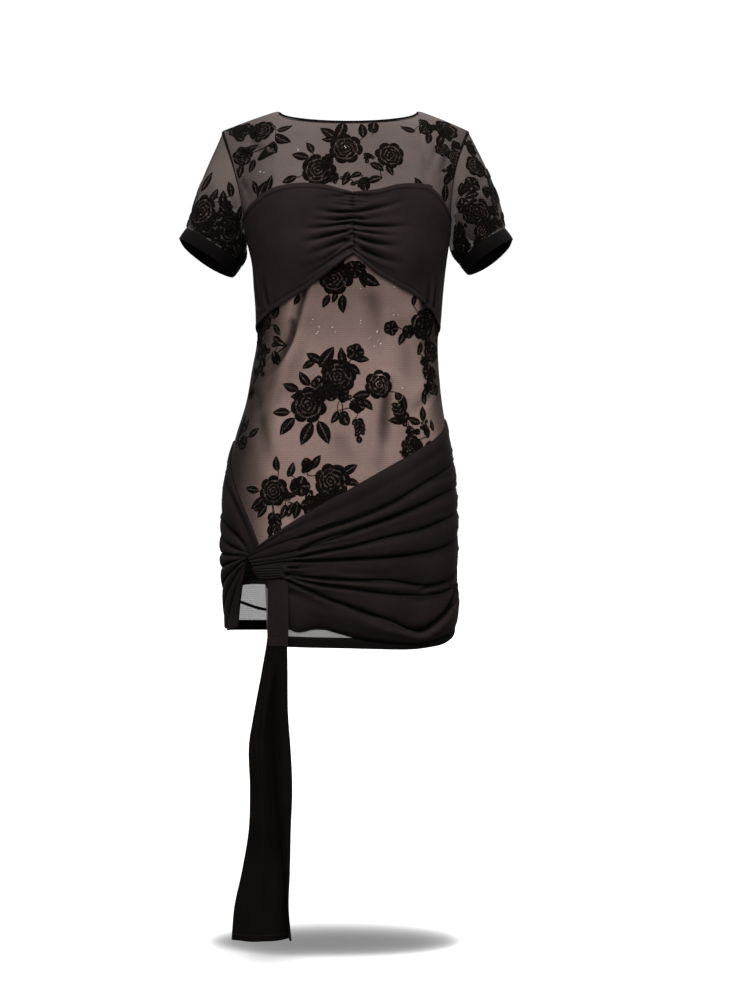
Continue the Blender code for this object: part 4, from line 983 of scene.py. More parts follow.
def net_panel(name, side, finish):
    """The net of the front or the back as a single layer, with the part under the tie left out in front."""
    columns = net_columns(side)
    foot = hem_height(side, columns) + HEM_DEPTH * 0.9
    hip = [foot + (NET_CUT_HEIGHT - foot) * t for t in np.linspace(0, 1, 19)]
    torso = [np.full_like(columns, h) for h in np.linspace(NET_CUT_HEIGHT, ARMPIT, 91)[1:]]
    t = np.linspace(0, 1, 49)[1:]
    chest = [np.full_like(columns, ARMPIT + (SHOULDER_LINE - ARMPIT) * s) for s in np.sin(t * np.pi / 2)]
    height = np.array(hip + torso + chest)
    column = np.broadcast_to(columns, height.shape)
    points = net_surface(side)(column, height)
    faces = grid_faces(*height.shape)
    if side == FRONT:
        left = column.ravel()[faces[:, 0]] < NET_CUT_COLUMN - TINY
        low = height.ravel()[faces].mean(axis=1) < NET_CUT_HEIGHT
        faces = faces[~(left & low)]
    else:
        faces = faces[:, ::-1]
    used, faces = np.unique(faces, return_inverse=True)
    made = mesh_object(name, points.reshape(-1, 3)[used], faces.reshape(-1, 4), finish, "flocked_net")
    # Painted shade, kept in the point attribute: darker towards the side seams, less so above the armpit, in
    # the net's creases and under the bust overlay.
    x = points[..., 0]
    out = np.abs(x) / np.abs(x).max(axis=1, keepdims=True)
    even = np.where((x < 0) & (side == FRONT), SIDE_SHADE_FROM_LEFT, SIDE_SHADE_FROM)
    seam = np.clip((out - even) / (1 - even), 0, 1) ** 0.9
    seam = seam * (0.30 + 0.70 * np.clip((ARMPIT + 0.03 - height) / 0.06, 0, 1))
    folds = np.clip(-net_dents(side, column, height) / FULL_SHADE_DENT, 0, 1) * 0.60
    under = 0.16 * bell(height - UNDER_BUST, 0.045) * np.clip(0.9 - np.abs(column + 0.25) / 0.6, 0, 1)
    shade(made, (1 - (1 - seam) * (1 - folds) * (1 - under)).ravel()[used])
    return made


def sleeve_surface(row):
    """Points of a sleeve: turn is 0 at the armpit, 1 at the shoulder, and 2 at the armpit after the back."""
    name, side_sign, across, height, half_width, half_depth, slope = row
    slope = np.radians(slope)
    outer_end = np.array([side_sign * np.cos(slope), 0, np.sin(slope)])
    down = np.array([side_sign * np.sin(slope), 0, -np.cos(slope)])
    middle = np.array([across, 0, height])
    forward_way = np.array([0, 1, 0])

    def start_of(turn):
        heights = ARMPIT + (SHOULDER_LINE - ARMPIT) * (1 - np.cos(turn * np.pi)) / 2
        front = body(FRONT, side_sign, heights)
        back = body(BACK, side_sign, heights)
        return np.where((turn % 2 <= 1)[..., None], front, back)

    def surface(turn, share, lift=0.0):
        turn, share = np.broadcast_arrays(np.asarray(turn, float), np.asarray(share, float))
        start = start_of(turn)
        over = -np.cos(turn * np.pi)[..., None]
        forward = -np.sin(turn * np.pi)[..., None]
        end = middle + half_width * over * outer_end + half_depth * forward * forward_way
        end = end + SLEEVE_BACK_DROP * np.maximum(forward, 0) * down - down * (CUFF_DEPTH + SEAM_GAP)
        end_normal = unit(over * outer_end * half_depth + forward * forward_way * half_width)
        near = start_of(turn + TINY) - start_of(turn - TINY)
        mixed = unit(np.cross(near, end - start))
        mixed = mixed * np.sign(np.einsum("...i,...i->...", mixed, end_normal))[..., None]
        t = share[..., None]
        normal = unit(mixed + (end_normal - mixed) * t)
        swell = SLEEVE_ROUND * t
        swell = swell + SLEEVE_RIPPLE * np.cos(turn * np.pi * 3 + 5 * share + across * 20)[..., None]
        swell = swell + SLEEVE_CROWN[name] * bell(turn - 1, 0.4)[..., None]
        out = swell * np.sin(np.pi * t) + NET / 2 + np.asarray(lift)[..., None]
        return start + (end - start) * t + normal * out
    return surface, down


def sleeve_pieces(row, net, trim):
    """A sleeve and its cuff hem. Returns the sleeve's surface and the cuff's lines of stitches."""
    name = row[0]
    surface, down = sleeve_surface(row)
    turn = np.linspace(0, 2, 97)[:-1]
    share = np.linspace(0, 1.0, 61)[:, None]
    points = surface(turn + 0 * share, share + 0 * turn)
    faces = grid_faces(*points.shape[:2], True)
    made = mesh_object(f"net_sleeve_{name}", points.reshape(-1, 3), faces, net, "sheer_net")
    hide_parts(f"sleeve_{name}")
    # Painted shade, kept in the point attribute: the sleeve is darker at its top and underarm edges and
    # towards the cuff.
    edge = bell(turn - 1, 0.10) + 0.8 * bell(np.minimum(turn, 2 - turn), 0.16)
    shade(made, 0.75 * np.clip(edge, 0, 1) + 0.62 * share ** 1.8 - 0.3 * edge * share ** 1.8)
    hem = points[-1]
    from_middle = hem - hem.mean(axis=0)
    out = unit(from_middle - (from_middle @ down)[:, None] * down)
    rows = np.linspace(0, 1, 7)[:, None, None]
    swell = HEM_SWELL * np.sin(np.pi * rows)
    run = hem + down * (CUFF_DEPTH + SEAM_GAP) * rows - down * CUFF_OVERLAP * (1 - rows)
    wave = CUFF_WAVE * rows * np.sin(turn * np.pi * 7)[None, :, None]
    inner = run + out * (swell + wave - HEM_WALL / 2)
    cuff = piece(f"cuff_hem_{name}", inner, inner + out * (HEM_WALL + swell), trim, "net_hem", True)
    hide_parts(f"cuff_{name}")
    lines = []
    for place in CUFF_STITCH_LINES:
        path = hem + down * (CUFF_DEPTH + SEAM_GAP) * place + out * 0.0010
        lines.append(stitch_mesh(closed_line(path), closed_line(out), HEM_STITCH))
    return surface, lines


def bust_piece(name, sign, folds, finish):
    """One half of the ruched overlay. Its creases leave the centre seam and fade towards the side."""
    share = np.linspace(0, 1, 97) ** 1.1
    up = np.linspace(0, 1, 121)[:, None]
    top, low = read_table(BUST, "column", share, (f"{name}_top", f"{name}_low"))
    start = BUST_SEAM_COLUMN + sign * BUST_SEAM_GAP
    column = start + (sign - start) * share + 0 * up
    height = low + (top - low) * up
    lift = OVERLAY_LIFT + BUST_RISE + BUST_DENT * crease_lift(column, height, folds)
    lift = lift + turned_edge(top - height, BUST_EDGE, BUST_EDGE_ROLL)
    lift = lift + turned_edge(height - low, BUST_LOW_EDGE, EDGE_ROLL, 1.1)
    gather = np.exp(-share / 0.05) * np.abs(np.sin(up * np.pi * BUST_GATHERS)) ** 0.8
    lift = lift + BUST_GATHER * gather - BUST_SEAM_DEPTH * bell(share, 0.014)
    side = np.clip((share - 0.88) / 0.12, 0, 1) ** 1.5
    lift = np.maximum(lift, BUST_LOWEST) * (1 - side) + BUST_SIDE_LIFT * side
    # Painted shade darkens the overlay's colour in the hollows between its creases.
    made = jersey_piece(f"jersey_bust_{name}", FRONT, column, height, lift, BUST_WALL, finish,
                        fold_shade_of(lift, 5, 2, BUST_SHADE_DEPTH))
    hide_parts(f"bust_{name}")


def fold_lines(bands):
    """Line numbers crowded towards each fold line, where the valley is tight."""
    t = np.linspace(0, 1, FOLD_STEPS + 1)[:-1]
    t = t - 0.11 * np.sin(2 * np.pi * t)
    return np.append((np.arange(bands)[:, None] + t).ravel(), bands)


def wrap_lift(lift, column, height, folds, dent=WRAP_DENT):
    """The lift of the wrap's inner face, with its creases, which never reach the net."""
    return WRAP_LIFT + np.maximum(lift + dent * crease_lift(column, height, folds), LOWEST_DENT)


def wrap_front_piece(finish):
    """The front of the wrap: folds that run from the tie to the right side seam, over the swag roll."""
    bands = len(WRAP_CRESTS) - 1
    across = np.linspace(0, 1, 141) ** 1.25
    line, share, column, height = wrap_front_grid(fold_lines(bands), across)
    lift = sharp_crest(WRAP_CRESTS, line, share, SWAG_SKEW)
    lift = lift + PLEAT_RISE * np.abs(np.sin(line * np.pi)) ** 0.8 * np.exp(-share / 0.10)
    hem = bell(line - bands + 0.17, 0.15, 4) * np.clip(share / 0.06, 0, 1)
    lift = lift + SWAG_HEM_ROLL * hem - SWAG_HEM_GROOVE * bell(line - bands + 0.37, 0.05)
    lift = wrap_lift(lift, column, height, WRAP_FRONT_FOLDS)
    # Painted shade darkens the wrap's colour in the hollows between its folds.
    made = jersey_piece("jersey_wrap_front", FRONT, column, height, lift, WRAP_WALL, finish,
                        fold_shade_of(lift, 8, 1, WRAP_FRONT_SHADE_DEPTH))
    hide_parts("wrap_front")


def wrap_side_piece(finish):
    """The part of the wrap left of the tie, down to the free edge of its hanging end."""
    bands = len(SIDE_CRESTS) - 1
    lines = fold_lines(bands)[:, None]
    share = np.linspace(0, 1, 61)[None, :]
    near, near_height, middle, middle_height, far, far_height = (
        across_lines(column_of(SIDE_LINES, name), lines) for name in SIDE_LINES[0])
    column = np.clip(through(near, middle, np.maximum(far, -1), share), -1, 1)
    height = through(near_height, middle_height, far_height, share)
    lift = sharp_crest(SIDE_CRESTS, lines + 0 * share, share + 0 * lines)
    hem = bell(lines - 0.30, 0.26, 4) * np.clip(share / 0.1, 0, 1)
    lift = lift + SIDE_HEM_ROLL * (hem - bell(lines - 0.66, 0.06))
    lift = wrap_lift(lift, column, height, WRAP_SIDE_FOLDS)
    # Painted shade darkens the wrap's colour in the hollows between its folds.
    made = jersey_piece("jersey_wrap_side", FRONT, column, height, lift, WRAP_WALL, finish,
                        fold_shade_of(lift, 8, 1, WRAP_SIDE_SHADE_DEPTH))
    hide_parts("wrap_side")


def wrap_back_piece(finish):
    """The back of the wrap. The folds of both sides cross the side seams and fade out over it."""
    columns = np.linspace(-1, 1, 161)
    up = np.linspace(0, 1, 121)[:, None]
    top, low = read_table(WRAP_BACK, "column", columns, ("top", "low"))
    height = low + (top - low) * up
    column = columns + 0 * up
    left_heights = column_of(SIDE_LINES, "far_height")[:SIDE_SEAM_LINES][::-1]
    left_line = np.interp(height + 0.010 * (column + 1), left_heights, np.arange(SIDE_SEAM_LINES))
    left_line = SIDE_SEAM_LINES - 1 - left_line
    right_heights = column_of(WRAP_LINES, "heights")[:, -1]
    right_line = np.interp(height + 0.012 * (1 - column), right_heights, np.arange(len(right_heights)))
    left_fade = np.clip(1 - (column + 1) / BACK_FOLD_REACH["left"], 0, 1) ** BACK_FOLD_FADE
    right_fade = np.clip(1 - (1 - column) / BACK_FOLD_REACH["right"], 0, 1) ** BACK_FOLD_FADE
    seam = np.ones_like(column)
    lift = left_fade * sharp_crest(SIDE_CRESTS, left_line, seam)
    lift = lift + right_fade * sharp_crest(WRAP_CRESTS, right_line, seam, SWAG_SKEW)
    lift = lift + turned_edge(top - height, BACK_EDGE, EDGE_ROLL)
    lift = lift + turned_edge(height - low, BACK_LOW_EDGE, EDGE_ROLL, 1.1, 0.10)
    lift = wrap_lift(lift, column, height, BACK_WRAP_FOLDS, BACK_DENT)
    # Painted shade darkens the wrap's colour in the hollows between its folds.
    made = jersey_piece("jersey_wrap_back", BACK, column, height, lift, WRAP_WALL, finish,
                        fold_shade_of(lift, 6, 1, WRAP_BACK_SHADE_DEPTH))
    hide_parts("wrap_back")


def loop_piece(finish):
    """The pleated fold that holds the gathers."""
    share = np.linspace(0, 1, 61)
    places = share * (len(LOOP) - 2)
    low_column, low, top_column, top = (across_lines(column_of(LOOP, name), places) for name in LOOP[0])
    up = np.linspace(0, 1, 61)[:, None]
    column = low_column + (top_column - low_column) * up
    height = low + (top - low) * up
    bulge = LOOP_BULGE + (LOOP_RIGHT_BULGE - LOOP_BULGE) * share
    pleats = np.abs(np.sin(np.pi * (up * LOOP_PLEATS + 1.4 * share * (1 - up) + 0.3))) ** 0.7
    lift = LOOP_LIFT + bulge * np.sin(np.pi * up) ** 0.6 + LOOP_PLEAT_RISE * pleats * (1 - 0.55 * share)
    lift = lift - 0.0016 * np.exp(-share / 0.06) - 0.0022 * np.exp(-(1 - share) / 0.10)
    # Painted shade darkens the loop's colour in the hollows between its pleats.
    made = jersey_piece("jersey_tie_loop", FRONT, column, height, lift, LOOP_WALL, finish,
                        fold_shade_of(lift, 5, 1, LOOP_SHADE_DEPTH))
    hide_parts("tie_loop")


def inner_fold_piece(finish):
    """The tie's turned part that closes the gap under the gathers."""
    share = np.linspace(0, 1, 21)
    up = np.linspace(0, 1, 25)[:, None]
    low, top = (smooth(share, (0, 0.5, 1), INNER_FOLD[name]) for name in ("low", "top"))
    height = low + (top - low) * up
    column = INNER_FOLD["left"] + (INNER_FOLD["right"] - INNER_FOLD["left"]) * share + 0 * up
    lift = INNER_FOLD_LIFT + INNER_FOLD_PLEAT * np.abs(np.sin(up * np.pi * 4 + share))
    # Its colour is painted fully shaded all over, as it lies under the gathers.
    jersey_piece("jersey_inner_fold", FRONT, column, height, lift, INNER_FOLD_WALL, finish,
                 np.ones_like(lift))


def tab_piece(finish):
    """The short end of the tie. Returns its stitched line."""
    rows = np.linspace(*column_of(TAB, "height")[[0, -1]], 61)[:, None]
    left, right = read_table(TAB, "height", rows, ("left", "right"))
    share = np.linspace(0, 1, 25)[None, :]
    x = left + (right - left) * share
    z = rows + 0 * share
    sway = TAB_SWAY * np.sin(share * np.pi * 2.2 + rows * 30) * (1 - share * 0.5)
    line = TAB_GROOVE * bell(rows - TAB_HEM, 0.0012)
    inner = hanging(x, z, TAB_LIFT + 0 * x, sway)
    outer = hanging(x, z, TAB_LIFT + 0 * x, sway + TAB_WALL - line)
    made = piece("jersey_tie_short_end", inner, outer, finish, "jersey")
    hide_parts("tie_short_end")
    return outer[np.argmin(np.abs(rows[:, 0] - TAB_HEM))]


def sash_piece(finish):
    """The long end: a wide leaf, a deep fold and a narrow leaf at its right. Returns its stitched line."""
    rows = np.linspace(*column_of(SASH, "height")[[0, -1]], 181)[:, None]
    left, fold, right = read_table(SASH, "height", rows, ("left", "fold", "right"))
    wide = np.linspace(0, 1, 41)[None, :]
    narrow = np.linspace(0, 1, 21)[None, 1:]
    free = ease(np.clip((SASH_FREE - rows) / SASH_RAMP, 0, 1))
    leaf = SASH_BULGE * np.maximum(np.sin(np.pi * wide), 0) - SASH_FOLD_DEPTH * wide ** 6
    slip = SASH_NARROW_BULGE * np.sin(np.pi * narrow) - SASH_FOLD_DEPTH * (1 - narrow) ** 2
    down = (rows[0] - rows) / (rows[0] - rows[-1])
    ripple = SASH_RIPPLE * np.sin(np.pi * (3.2 * wide + 1.5 * down)) * np.sin(np.pi * wide)
    crease = -SASH_CREASE * bell(wide - 0.28 - 0.30 * down, 0.05, 1.4) * np.clip(down * 3, 0, 1)
    crease = crease * np.clip((0.75 - down) / 0.3, 0, 1)
    pinch = -SASH_PINCH * bell(wide - 0.55, 0.05, 1.4) * np.exp(-down * 7)
    forward = np.concatenate([leaf + ripple + crease + pinch, slip + 0 * rows], axis=1)
    x = np.concatenate([left + (fold - left) * wide, fold + (right - fold) * narrow], axis=1)
    z = rows + 0 * x
    held = SASH_GATHER * np.abs(np.sin(np.pi * 3 * np.concatenate([wide, 1 + 0 * narrow], axis=1)))
    forward = forward * free + held * (1 - free)
    inner = hanging(x, z, SASH_LIFT + 0 * x, forward)
    outer = hanging(x, z, SASH_LIFT + 0 * x, forward + SASH_WALL)
    made = piece("jersey_tie_long_end", inner, outer, finish, "jersey")
    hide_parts("tie_long_end")
    return outer[np.argmin(np.abs(rows[:, 0] - rows[-1, 0] - SASH_HEM))]


def hem_piece(name, side, first_column, finish):
    """The turned hem of the skirt. Returns its two lines of stitches."""
    columns = net_columns(side)
    columns = columns[columns > first_column - TINY]
    foot = hem_height(side, columns)
    up = np.linspace(0, 1, 9)[:, None]
    height = foot + HEM_DEPTH * up
    column = columns + 0 * up
    wave = HEM_WAVE * np.sin(columns * 23) * (1 - up)
    lift = HEM_LIFT + wave + HEM_SWELL * np.sin(np.pi * up)
    inner = cloth(side, column, height, lift)
    outer = cloth(side, column, height, lift + HEM_WALL)
    made = piece(f"{name}_hem", inner, outer, finish, "net_hem")
    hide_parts(name)
    lines = []
    for place in HEM_STITCH_LINES:
        path = cloth(side, columns, foot + HEM_DEPTH * place, HEM_WALL - 0.0001)
        lines.append(stitch_mesh(path, outward(side, columns, foot), HEM_STITCH))
    return lines


def rolled(path, normals, seam, closed=False):
    """A rolled seam along a path that lies on the body."""
    out, width, height = seam
    return cord_mesh(path + normals * out, normals, width, height, closed)


def armhole_roll(sign):
    """The rolled seam of an armhole, with its corner at the armpit rounded."""
    points, normals = armhole(sign)
    fine = np.linspace(0, len(points), 161)[:-1]
    index = np.floor(fine).astype(int)
    t = (fine - index)[:, None]
    following = (index + 1) % len(points)
    ring = points[index] * (1 - t) + points[following] * t
    ring = ring + 0.25 * (np.roll(ring, 4, axis=0) + np.roll(ring, -4, axis=0) - 2 * ring)
    tilt = unit(normals[index] * (1 - t) + normals[following] * t)
    return rolled(ring, tilt, ARMHOLE_SEAM, True)


def seam_parts(sleeves):
    """Rolled seams: armholes, shoulders, side seams, sleeve seams and the back's lower seam."""
    parts = []
    for sign in (-1, 1):
        parts.append(armhole_roll(sign))
        path = body(FRONT, sign * np.linspace(NECK_COLUMN, 1, 41), SHOULDER_LINE)
        parts.append(rolled(path, np.tile([0.0, 0.0, 1.0], (41, 1)), SHOULDER_SEAM))
        heights = np.linspace(SIDE_SEAM_LOW, ARMPIT, 121)
        path = (body(FRONT, sign, heights) + body(BACK, sign, heights)) / 2
        parts.append(rolled(path, outward(FRONT, sign, heights), SIDE_SEAM))
    for surface in sleeves:
        share = np.linspace(0, 1, 41)
        path = surface(0.0, share)
        parts.append(rolled(path, unit(path - surface(1.0, share)), SLEEVE_SEAM))
    heights = np.linspace(*BUST_SEAM_HEIGHTS, 41)
    places = (FRONT, BUST_SEAM_COLUMN + 0 * heights, heights)
    parts.append(rolled(cloth(*places), outward(*places), BUST_SEAM))
    columns = np.linspace(-1, 1, 121)
    heights = hem_height(BACK, columns) + LOW_BACK_SEAM_RISE
    heights = heights + 0.003 * np.sin(columns * 5) + 0.011 * bell(columns + 0.74, 0.22)
    places = (BACK, columns, heights)
    parts.append(rolled(cloth(*places), outward(*places), LOW_BACK_SEAM))
    return parts


def neck_piece(finish):
    """The narrow binding of the neckline. Returns its line of stitches."""
    path, beside = [], []
    for side in (FRONT, BACK):
        columns = np.linspace(-NECK_COLUMN, NECK_COLUMN, 81)[:-1] * (1 if side == FRONT else -1)
        path.append(body(side, columns, SHOULDER_LINE))
        beside.append(outward(side, columns, SHOULDER_LINE))
    path, beside = np.concatenate(path), np.concatenate(beside)
    tangent = unit(np.roll(path, -1, axis=0) - np.roll(path, 1, axis=0))
    lean = unit(np.cross(beside, tangent))
    centre = path + lean * (BINDING / 2 + 0.0004) + beside * NET / 2
    points, faces = cord_mesh(centre, beside, BINDING * 1.25, BINDING * 0.95, closed=True, steps=12)
    made = mesh_object("jersey_neck_binding", points, faces, finish, "jersey")
    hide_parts("neck_binding")
    return stitch_mesh(closed_line(path - lean * 0.0006 + beside * 0.0013), closed_line(beside), NECK_STITCH)


# Flocked flowers. Every shape is made in the plane, of raised strips and thin discs.
def strip(line, half, rise=PILE_RISE, edge=PILE_EDGE, layer=PILE):
    """A raised strip along a line, with a half width at each of its points."""
    run = np.gradient(line, axis=0)
    beside = unit(np.stack([-run[:, 1], run[:, 0]], axis=-1)) * np.asarray(half)[:, None]
    flat = np.stack([line + beside * share for share in (-1, -0.6, 0.6, 1)], axis=1)
    lifts = np.broadcast_to([edge, rise, rise, edge], flat.shape[:2])
    return np.concatenate([flat, lifts[..., None]], axis=-1).reshape(-1, 3), grid_faces(len(line), 4), layer


def arc(radius, first, last, half, scallop=0.0, wind=0.0, rise=PILE_RISE):
    """A petal: a curved strip that bulges outwards, winds inwards a little and has round ends."""
    t = np.linspace(0, 1, 7)
    turn = np.radians(first + (last - first) * t)
    r = radius + scallop * np.sin(np.pi * t) + wind * (0.5 - t)
    line = np.stack([r * np.cos(turn), r * np.sin(turn)], axis=-1)
    return strip(line, half * np.sin(np.pi * (0.05 + 0.90 * t)) ** 0.40, rise)


# Rings of a rose: petals, then their radius, half width, bulge and inward wind for a rose of size 1.
ROSE_RINGS = ((7, 0.800, 0.158, 0.075, 0.05), (6, 0.540, 0.102, 0.020, 0.10), (4, 0.325, 0.080, 0.010, 0.09),
              (2, 0.130, 0.070, 0.0, 0.06))


def rose(size, rng):
    parts = []
    for count, radius, half, scallop, wind in ROSE_RINGS:
        start = rng.uniform(0, 360)
        for k in range(count):
            step = 360 / count
            first = start + step * k + rng.uniform(-3, 3)
            reach = step * (0.985 if count > 4 else 1.06)
            wide = half * rng.uniform(0.93, 1.04)
            parts.append(arc(radius * size, first, first + reach, wide * size, scallop * size, wind * size,
                             rng.uniform(0.0006, 0.0009)))
    return parts + ground_disc(0.80 * size, rng)


def leaf(size, rng, slim=0.50):
    """Two halves round a thin middle, which stands in for the veins."""
    t = np.linspace(0, 1, 8)
    bend = rng.uniform(-0.16, 0.16) * size
    spine = np.stack([size * (2 * t - 1), bend * np.sin(np.pi * t)], axis=-1)
    full = slim * size * np.sin(np.pi * t ** 0.85) ** 0.85
    parts = [strip(spine, full * 0.6, GROUND_RISE, 0.00010, GROUND)]
    for sign in (-1, 1):
        line = spine + np.stack([0 * t, sign * full * 0.57], axis=-1)
        parts.append(strip(line, np.maximum(full * 0.43, 0.00012), 0.0006))
    return parts


def flower(size, rng):
    parts = []
    start = rng.uniform(0, 72)
    for k in range(5):
        parts += turned(leaf(0.40 * size, rng, 1.35), start + 72 * k, 0.58 * size)
    parts.append(arc(0.15 * size, 0, 340, 0.13 * size))
    return parts + ground_disc(0.42 * size, rng)


def turned(parts, turn, out=0.0):
    """The parts shifted outwards and then turned round the middle."""
    c, s = np.cos(np.radians(turn)), np.sin(np.radians(turn))
    made = []
    for points, faces, layer in parts:
        p = points.copy()
        p[:, 0] += out
        p[:, :2] = p[:, :2] @ np.array([[c, s], [-s, c]])
        made.append((p, faces, layer))
    return made


def moved(parts, x, y, turn=0.0):
    return [(p + np.array([x, y, 0]), f, layer) for p, f, layer in turned(parts, turn)]


def thin_stem(line, half=STEM_HALF):
    return strip(line, half * np.ones(len(line)), STEM_RISE)


def stem(size, _):
    t = np.linspace(0, 1, 11)
    return [thin_stem(np.stack([size * (2 * t - 1), 0.28 * size * np.sin(np.pi * t)], axis=-1))]


def bud(size, rng):
    parts = moved(leaf(0.62 * size, rng, 1.0), 0.30 * size, 0)
    for sign in (1, -1):
        parts += moved(leaf(0.5 * size, rng, 0.6), -0.25 * size, sign * 0.24 * size, sign * 28)
    t = np.linspace(-1, -0.2, 5)
    return parts + [thin_stem(np.stack([size * t, 0 * t], axis=-1))]


def sprig(size, rng):
    parts = stem(size, rng)
    for k, place in enumerate((-0.55, -0.15, 0.25, 0.60)):
        reach = 0.36 * size * (1 - 0.1 * k)
        rise = 0.28 * size * np.cos(place * np.pi / 2)
        for sign in (1, -1):
            parts += moved(leaf(reach, rng, 0.9), place * size, rise + sign * 0.28 * size, sign * 55)
    return parts + moved(leaf(0.34 * size, rng, 0.9), 1.15 * size, 0)


def mass(size, rng):
    """Small florets heaped between the roses."""
    parts = []
    for _ in range(9):
        x, y = rng.normal(0, 0.42 * size, 2)
        small = rng.uniform(0.26, 0.40) * size
        start = rng.uniform(0, 360)
        some = [arc(0.60 * small, start + 90 * k, start + 90 * k + 96, 0.40 * small, 0.1 * small,
                    rise=rng.uniform(0.0005, 0.0009)) for k in range(4)]
        parts += moved(some + [arc(0.12 * small, 0, 330, 0.16 * small)], x, y)
    return parts + ground_disc(0.62 * size, rng)


def ground_disc(size, rng):
    """The thin flock between petals."""
    turn = np.linspace(0, 2 * np.pi, 25)[:-1]
    radii = np.linspace(0.02, 1, 3)[:, None]
    ring = size * radii * (1 + 0.05 * np.sin(7 * turn + rng.uniform(0, 6)))
    points = np.stack([ring * np.cos(turn), ring * np.sin(turn), GROUND_RISE + 0 * ring], axis=-1)
    return [(points.reshape(-1, 3), grid_faces(3, 24, True), GROUND)]


SHAPES = {"rose": rose, "leaf": leaf, "flower": flower, "stem": stem, "bud": bud, "sprig": sprig,
          "mass": mass}


def stem_to_cluster(rows, gaps, k, rng):
    """A thin stem from a leaf or bud to the nearest flower, if one is near."""
    kind, _, _, size, turn = rows[k]
    near = []
    for j, other in enumerate(rows):
        far = np.linalg.norm(gaps[:, j])
        if j != k and other[0] in ("rose", "mass", "flower") and size < far < STEM_REACH:
            near.append((far - other[3], j))
    if not near:
        return []
    j = min(near)[1]
    goal = gaps[:, j] * (1 - 0.75 * rows[j][3] / np.linalg.norm(gaps[:, j]))
    tip = 0.9 * size * np.array([np.cos(np.radians(turn)), np.sin(np.radians(turn))])
    start = 0 * tip if kind == "flower" else (tip if tip @ goal > 0 else -tip)
    reach = goal - start
    bow = rng.uniform(-0.22, 0.22) * np.array([-reach[1], reach[0]])
    t = np.linspace(0, 1, 9)[:, None]
    return [thin_stem(start + reach * t + bow * np.sin(np.pi * t), STEM_HALF * 1.1)]


def flock(rows, surface, limits, rng):
    """Motifs laid on a surface, whose two coordinates stay inside their limits: the pile, then the ground."""
    low_a, high_a, low_b, high_b, middle = limits
    a = np.clip([row[1] for row in rows], low_a + 0.04, high_a - 0.04)
    b = np.array([row[2] for row in rows])
    here = surface(a, b)
    step = 1e-3
    step_a = (surface(a + step, b) - surface(a - step, b)) / (2 * step)
    step_b = (surface(a, b + step) - surface(a, b - step)) / (2 * step)
    normal = unit(np.cross(step_a, step_b))
    away = here - np.stack([middle + 0 * a, 0 * a, here[:, 2]], axis=-1)
    normal = normal * np.sign(np.einsum("ij,ij->i", normal, away))[:, None]
    up = unit(np.array([0, 0, 1.0]) - normal[:, 2:] * normal)
    right = np.cross(up, normal)
    shapes, places = {PILE: [], GROUND: []}, {PILE: [], GROUND: []}
    for k, (kind, _, _, size, turn) in enumerate(rows):
        slope = np.array([[along @ way for along in (step_a[k], step_b[k])] for way in (right[k], up[k])])
        back = np.linalg.inv(slope).T
        parts = turned(SHAPES[kind](size, rng), turn)
        if kind in TIED_KINDS:
            gaps = slope @ np.array([a - a[k], b - b[k]])
            parts += stem_to_cluster(rows, gaps, k, rng)
        for points, faces, layer in parts:
            shift = points[:, :2] @ back
            places[layer].append(np.stack([a[k] + shift[:, 0], b[k] + shift[:, 1], points[:, 2]], axis=-1))
            shapes[layer].append((points, faces))
    results = []
    for layer in (PILE, GROUND):
        at = np.concatenate(places[layer])
        points = surface(np.clip(at[:, 0], low_a, high_a), np.clip(at[:, 1], low_b, high_b), at[:, 2])
        results.append((points, join(shapes[layer])[1]))
    return results


def flock_pieces(name, rows, surface, limits, finishes):
    """The two layers of flock of a panel."""
    for (points, faces), finish, layer in zip(flock(rows, surface, limits, RNG), finishes, FLOCK_LAYERS):
        mesh_object(f"flock_{layer}_{name}", points, faces, finish, "flocked_net")


def motif_rows(panel):
    """The panel's motifs as kind, place across, place up, size in metres and turn."""
    return [(kind, a, b, size * 0.001, turn)
            for kind, places in MOTIFS[panel].items() for a, b, size, turn in places]


def back_rows():
    """The back repeats the front's flowers the other way round, and fills the middle from the waist's."""
    rows = []
    for kind, a, b, size, turn in motif_rows("front"):
        if b > BACK_LOWEST:
            rows.append((kind, BACK_SHIFT - a, b, size, 180 - turn))
        if BACK_LOWEST - BACK_RISE < b < WAIST_FLOWERS:
            rows.append((kind, a - BACK_SHIFT, b + BACK_RISE, size * 0.96, turn + 25))
    return rows


def specks(surface, places, spread, rng):
    """Small glinting discs, so many round each place."""
    parts = []
    turn = np.linspace(0, 2 * np.pi, 6, endpoint=False)[:, None]
    for a, b in places:
        here, across, up = surface(np.array([a, a + 1e-3, a]), np.array([b, b, b + 1e-3]), 0.0009)
        east = unit(across - here)
        out = unit(np.cross(east, up - here))
        north = np.cross(out, east)
        out = out * np.sign(out @ (here * (1, 1, 0)))
        for _ in range(spread):
            place = here + (east * rng.normal(0, 0.0034) + north * rng.normal(0, 0.0034))
            ring = place + rng.uniform(0.00045, 0.00090) * (np.cos(turn) * east + np.sin(turn) * north)
            faces = np.array([[k, (k + 1) % 6, 6] for k in range(6)])
            parts.append((np.concatenate([ring, [place + out * 0.00025]]), faces))
    return join(parts)


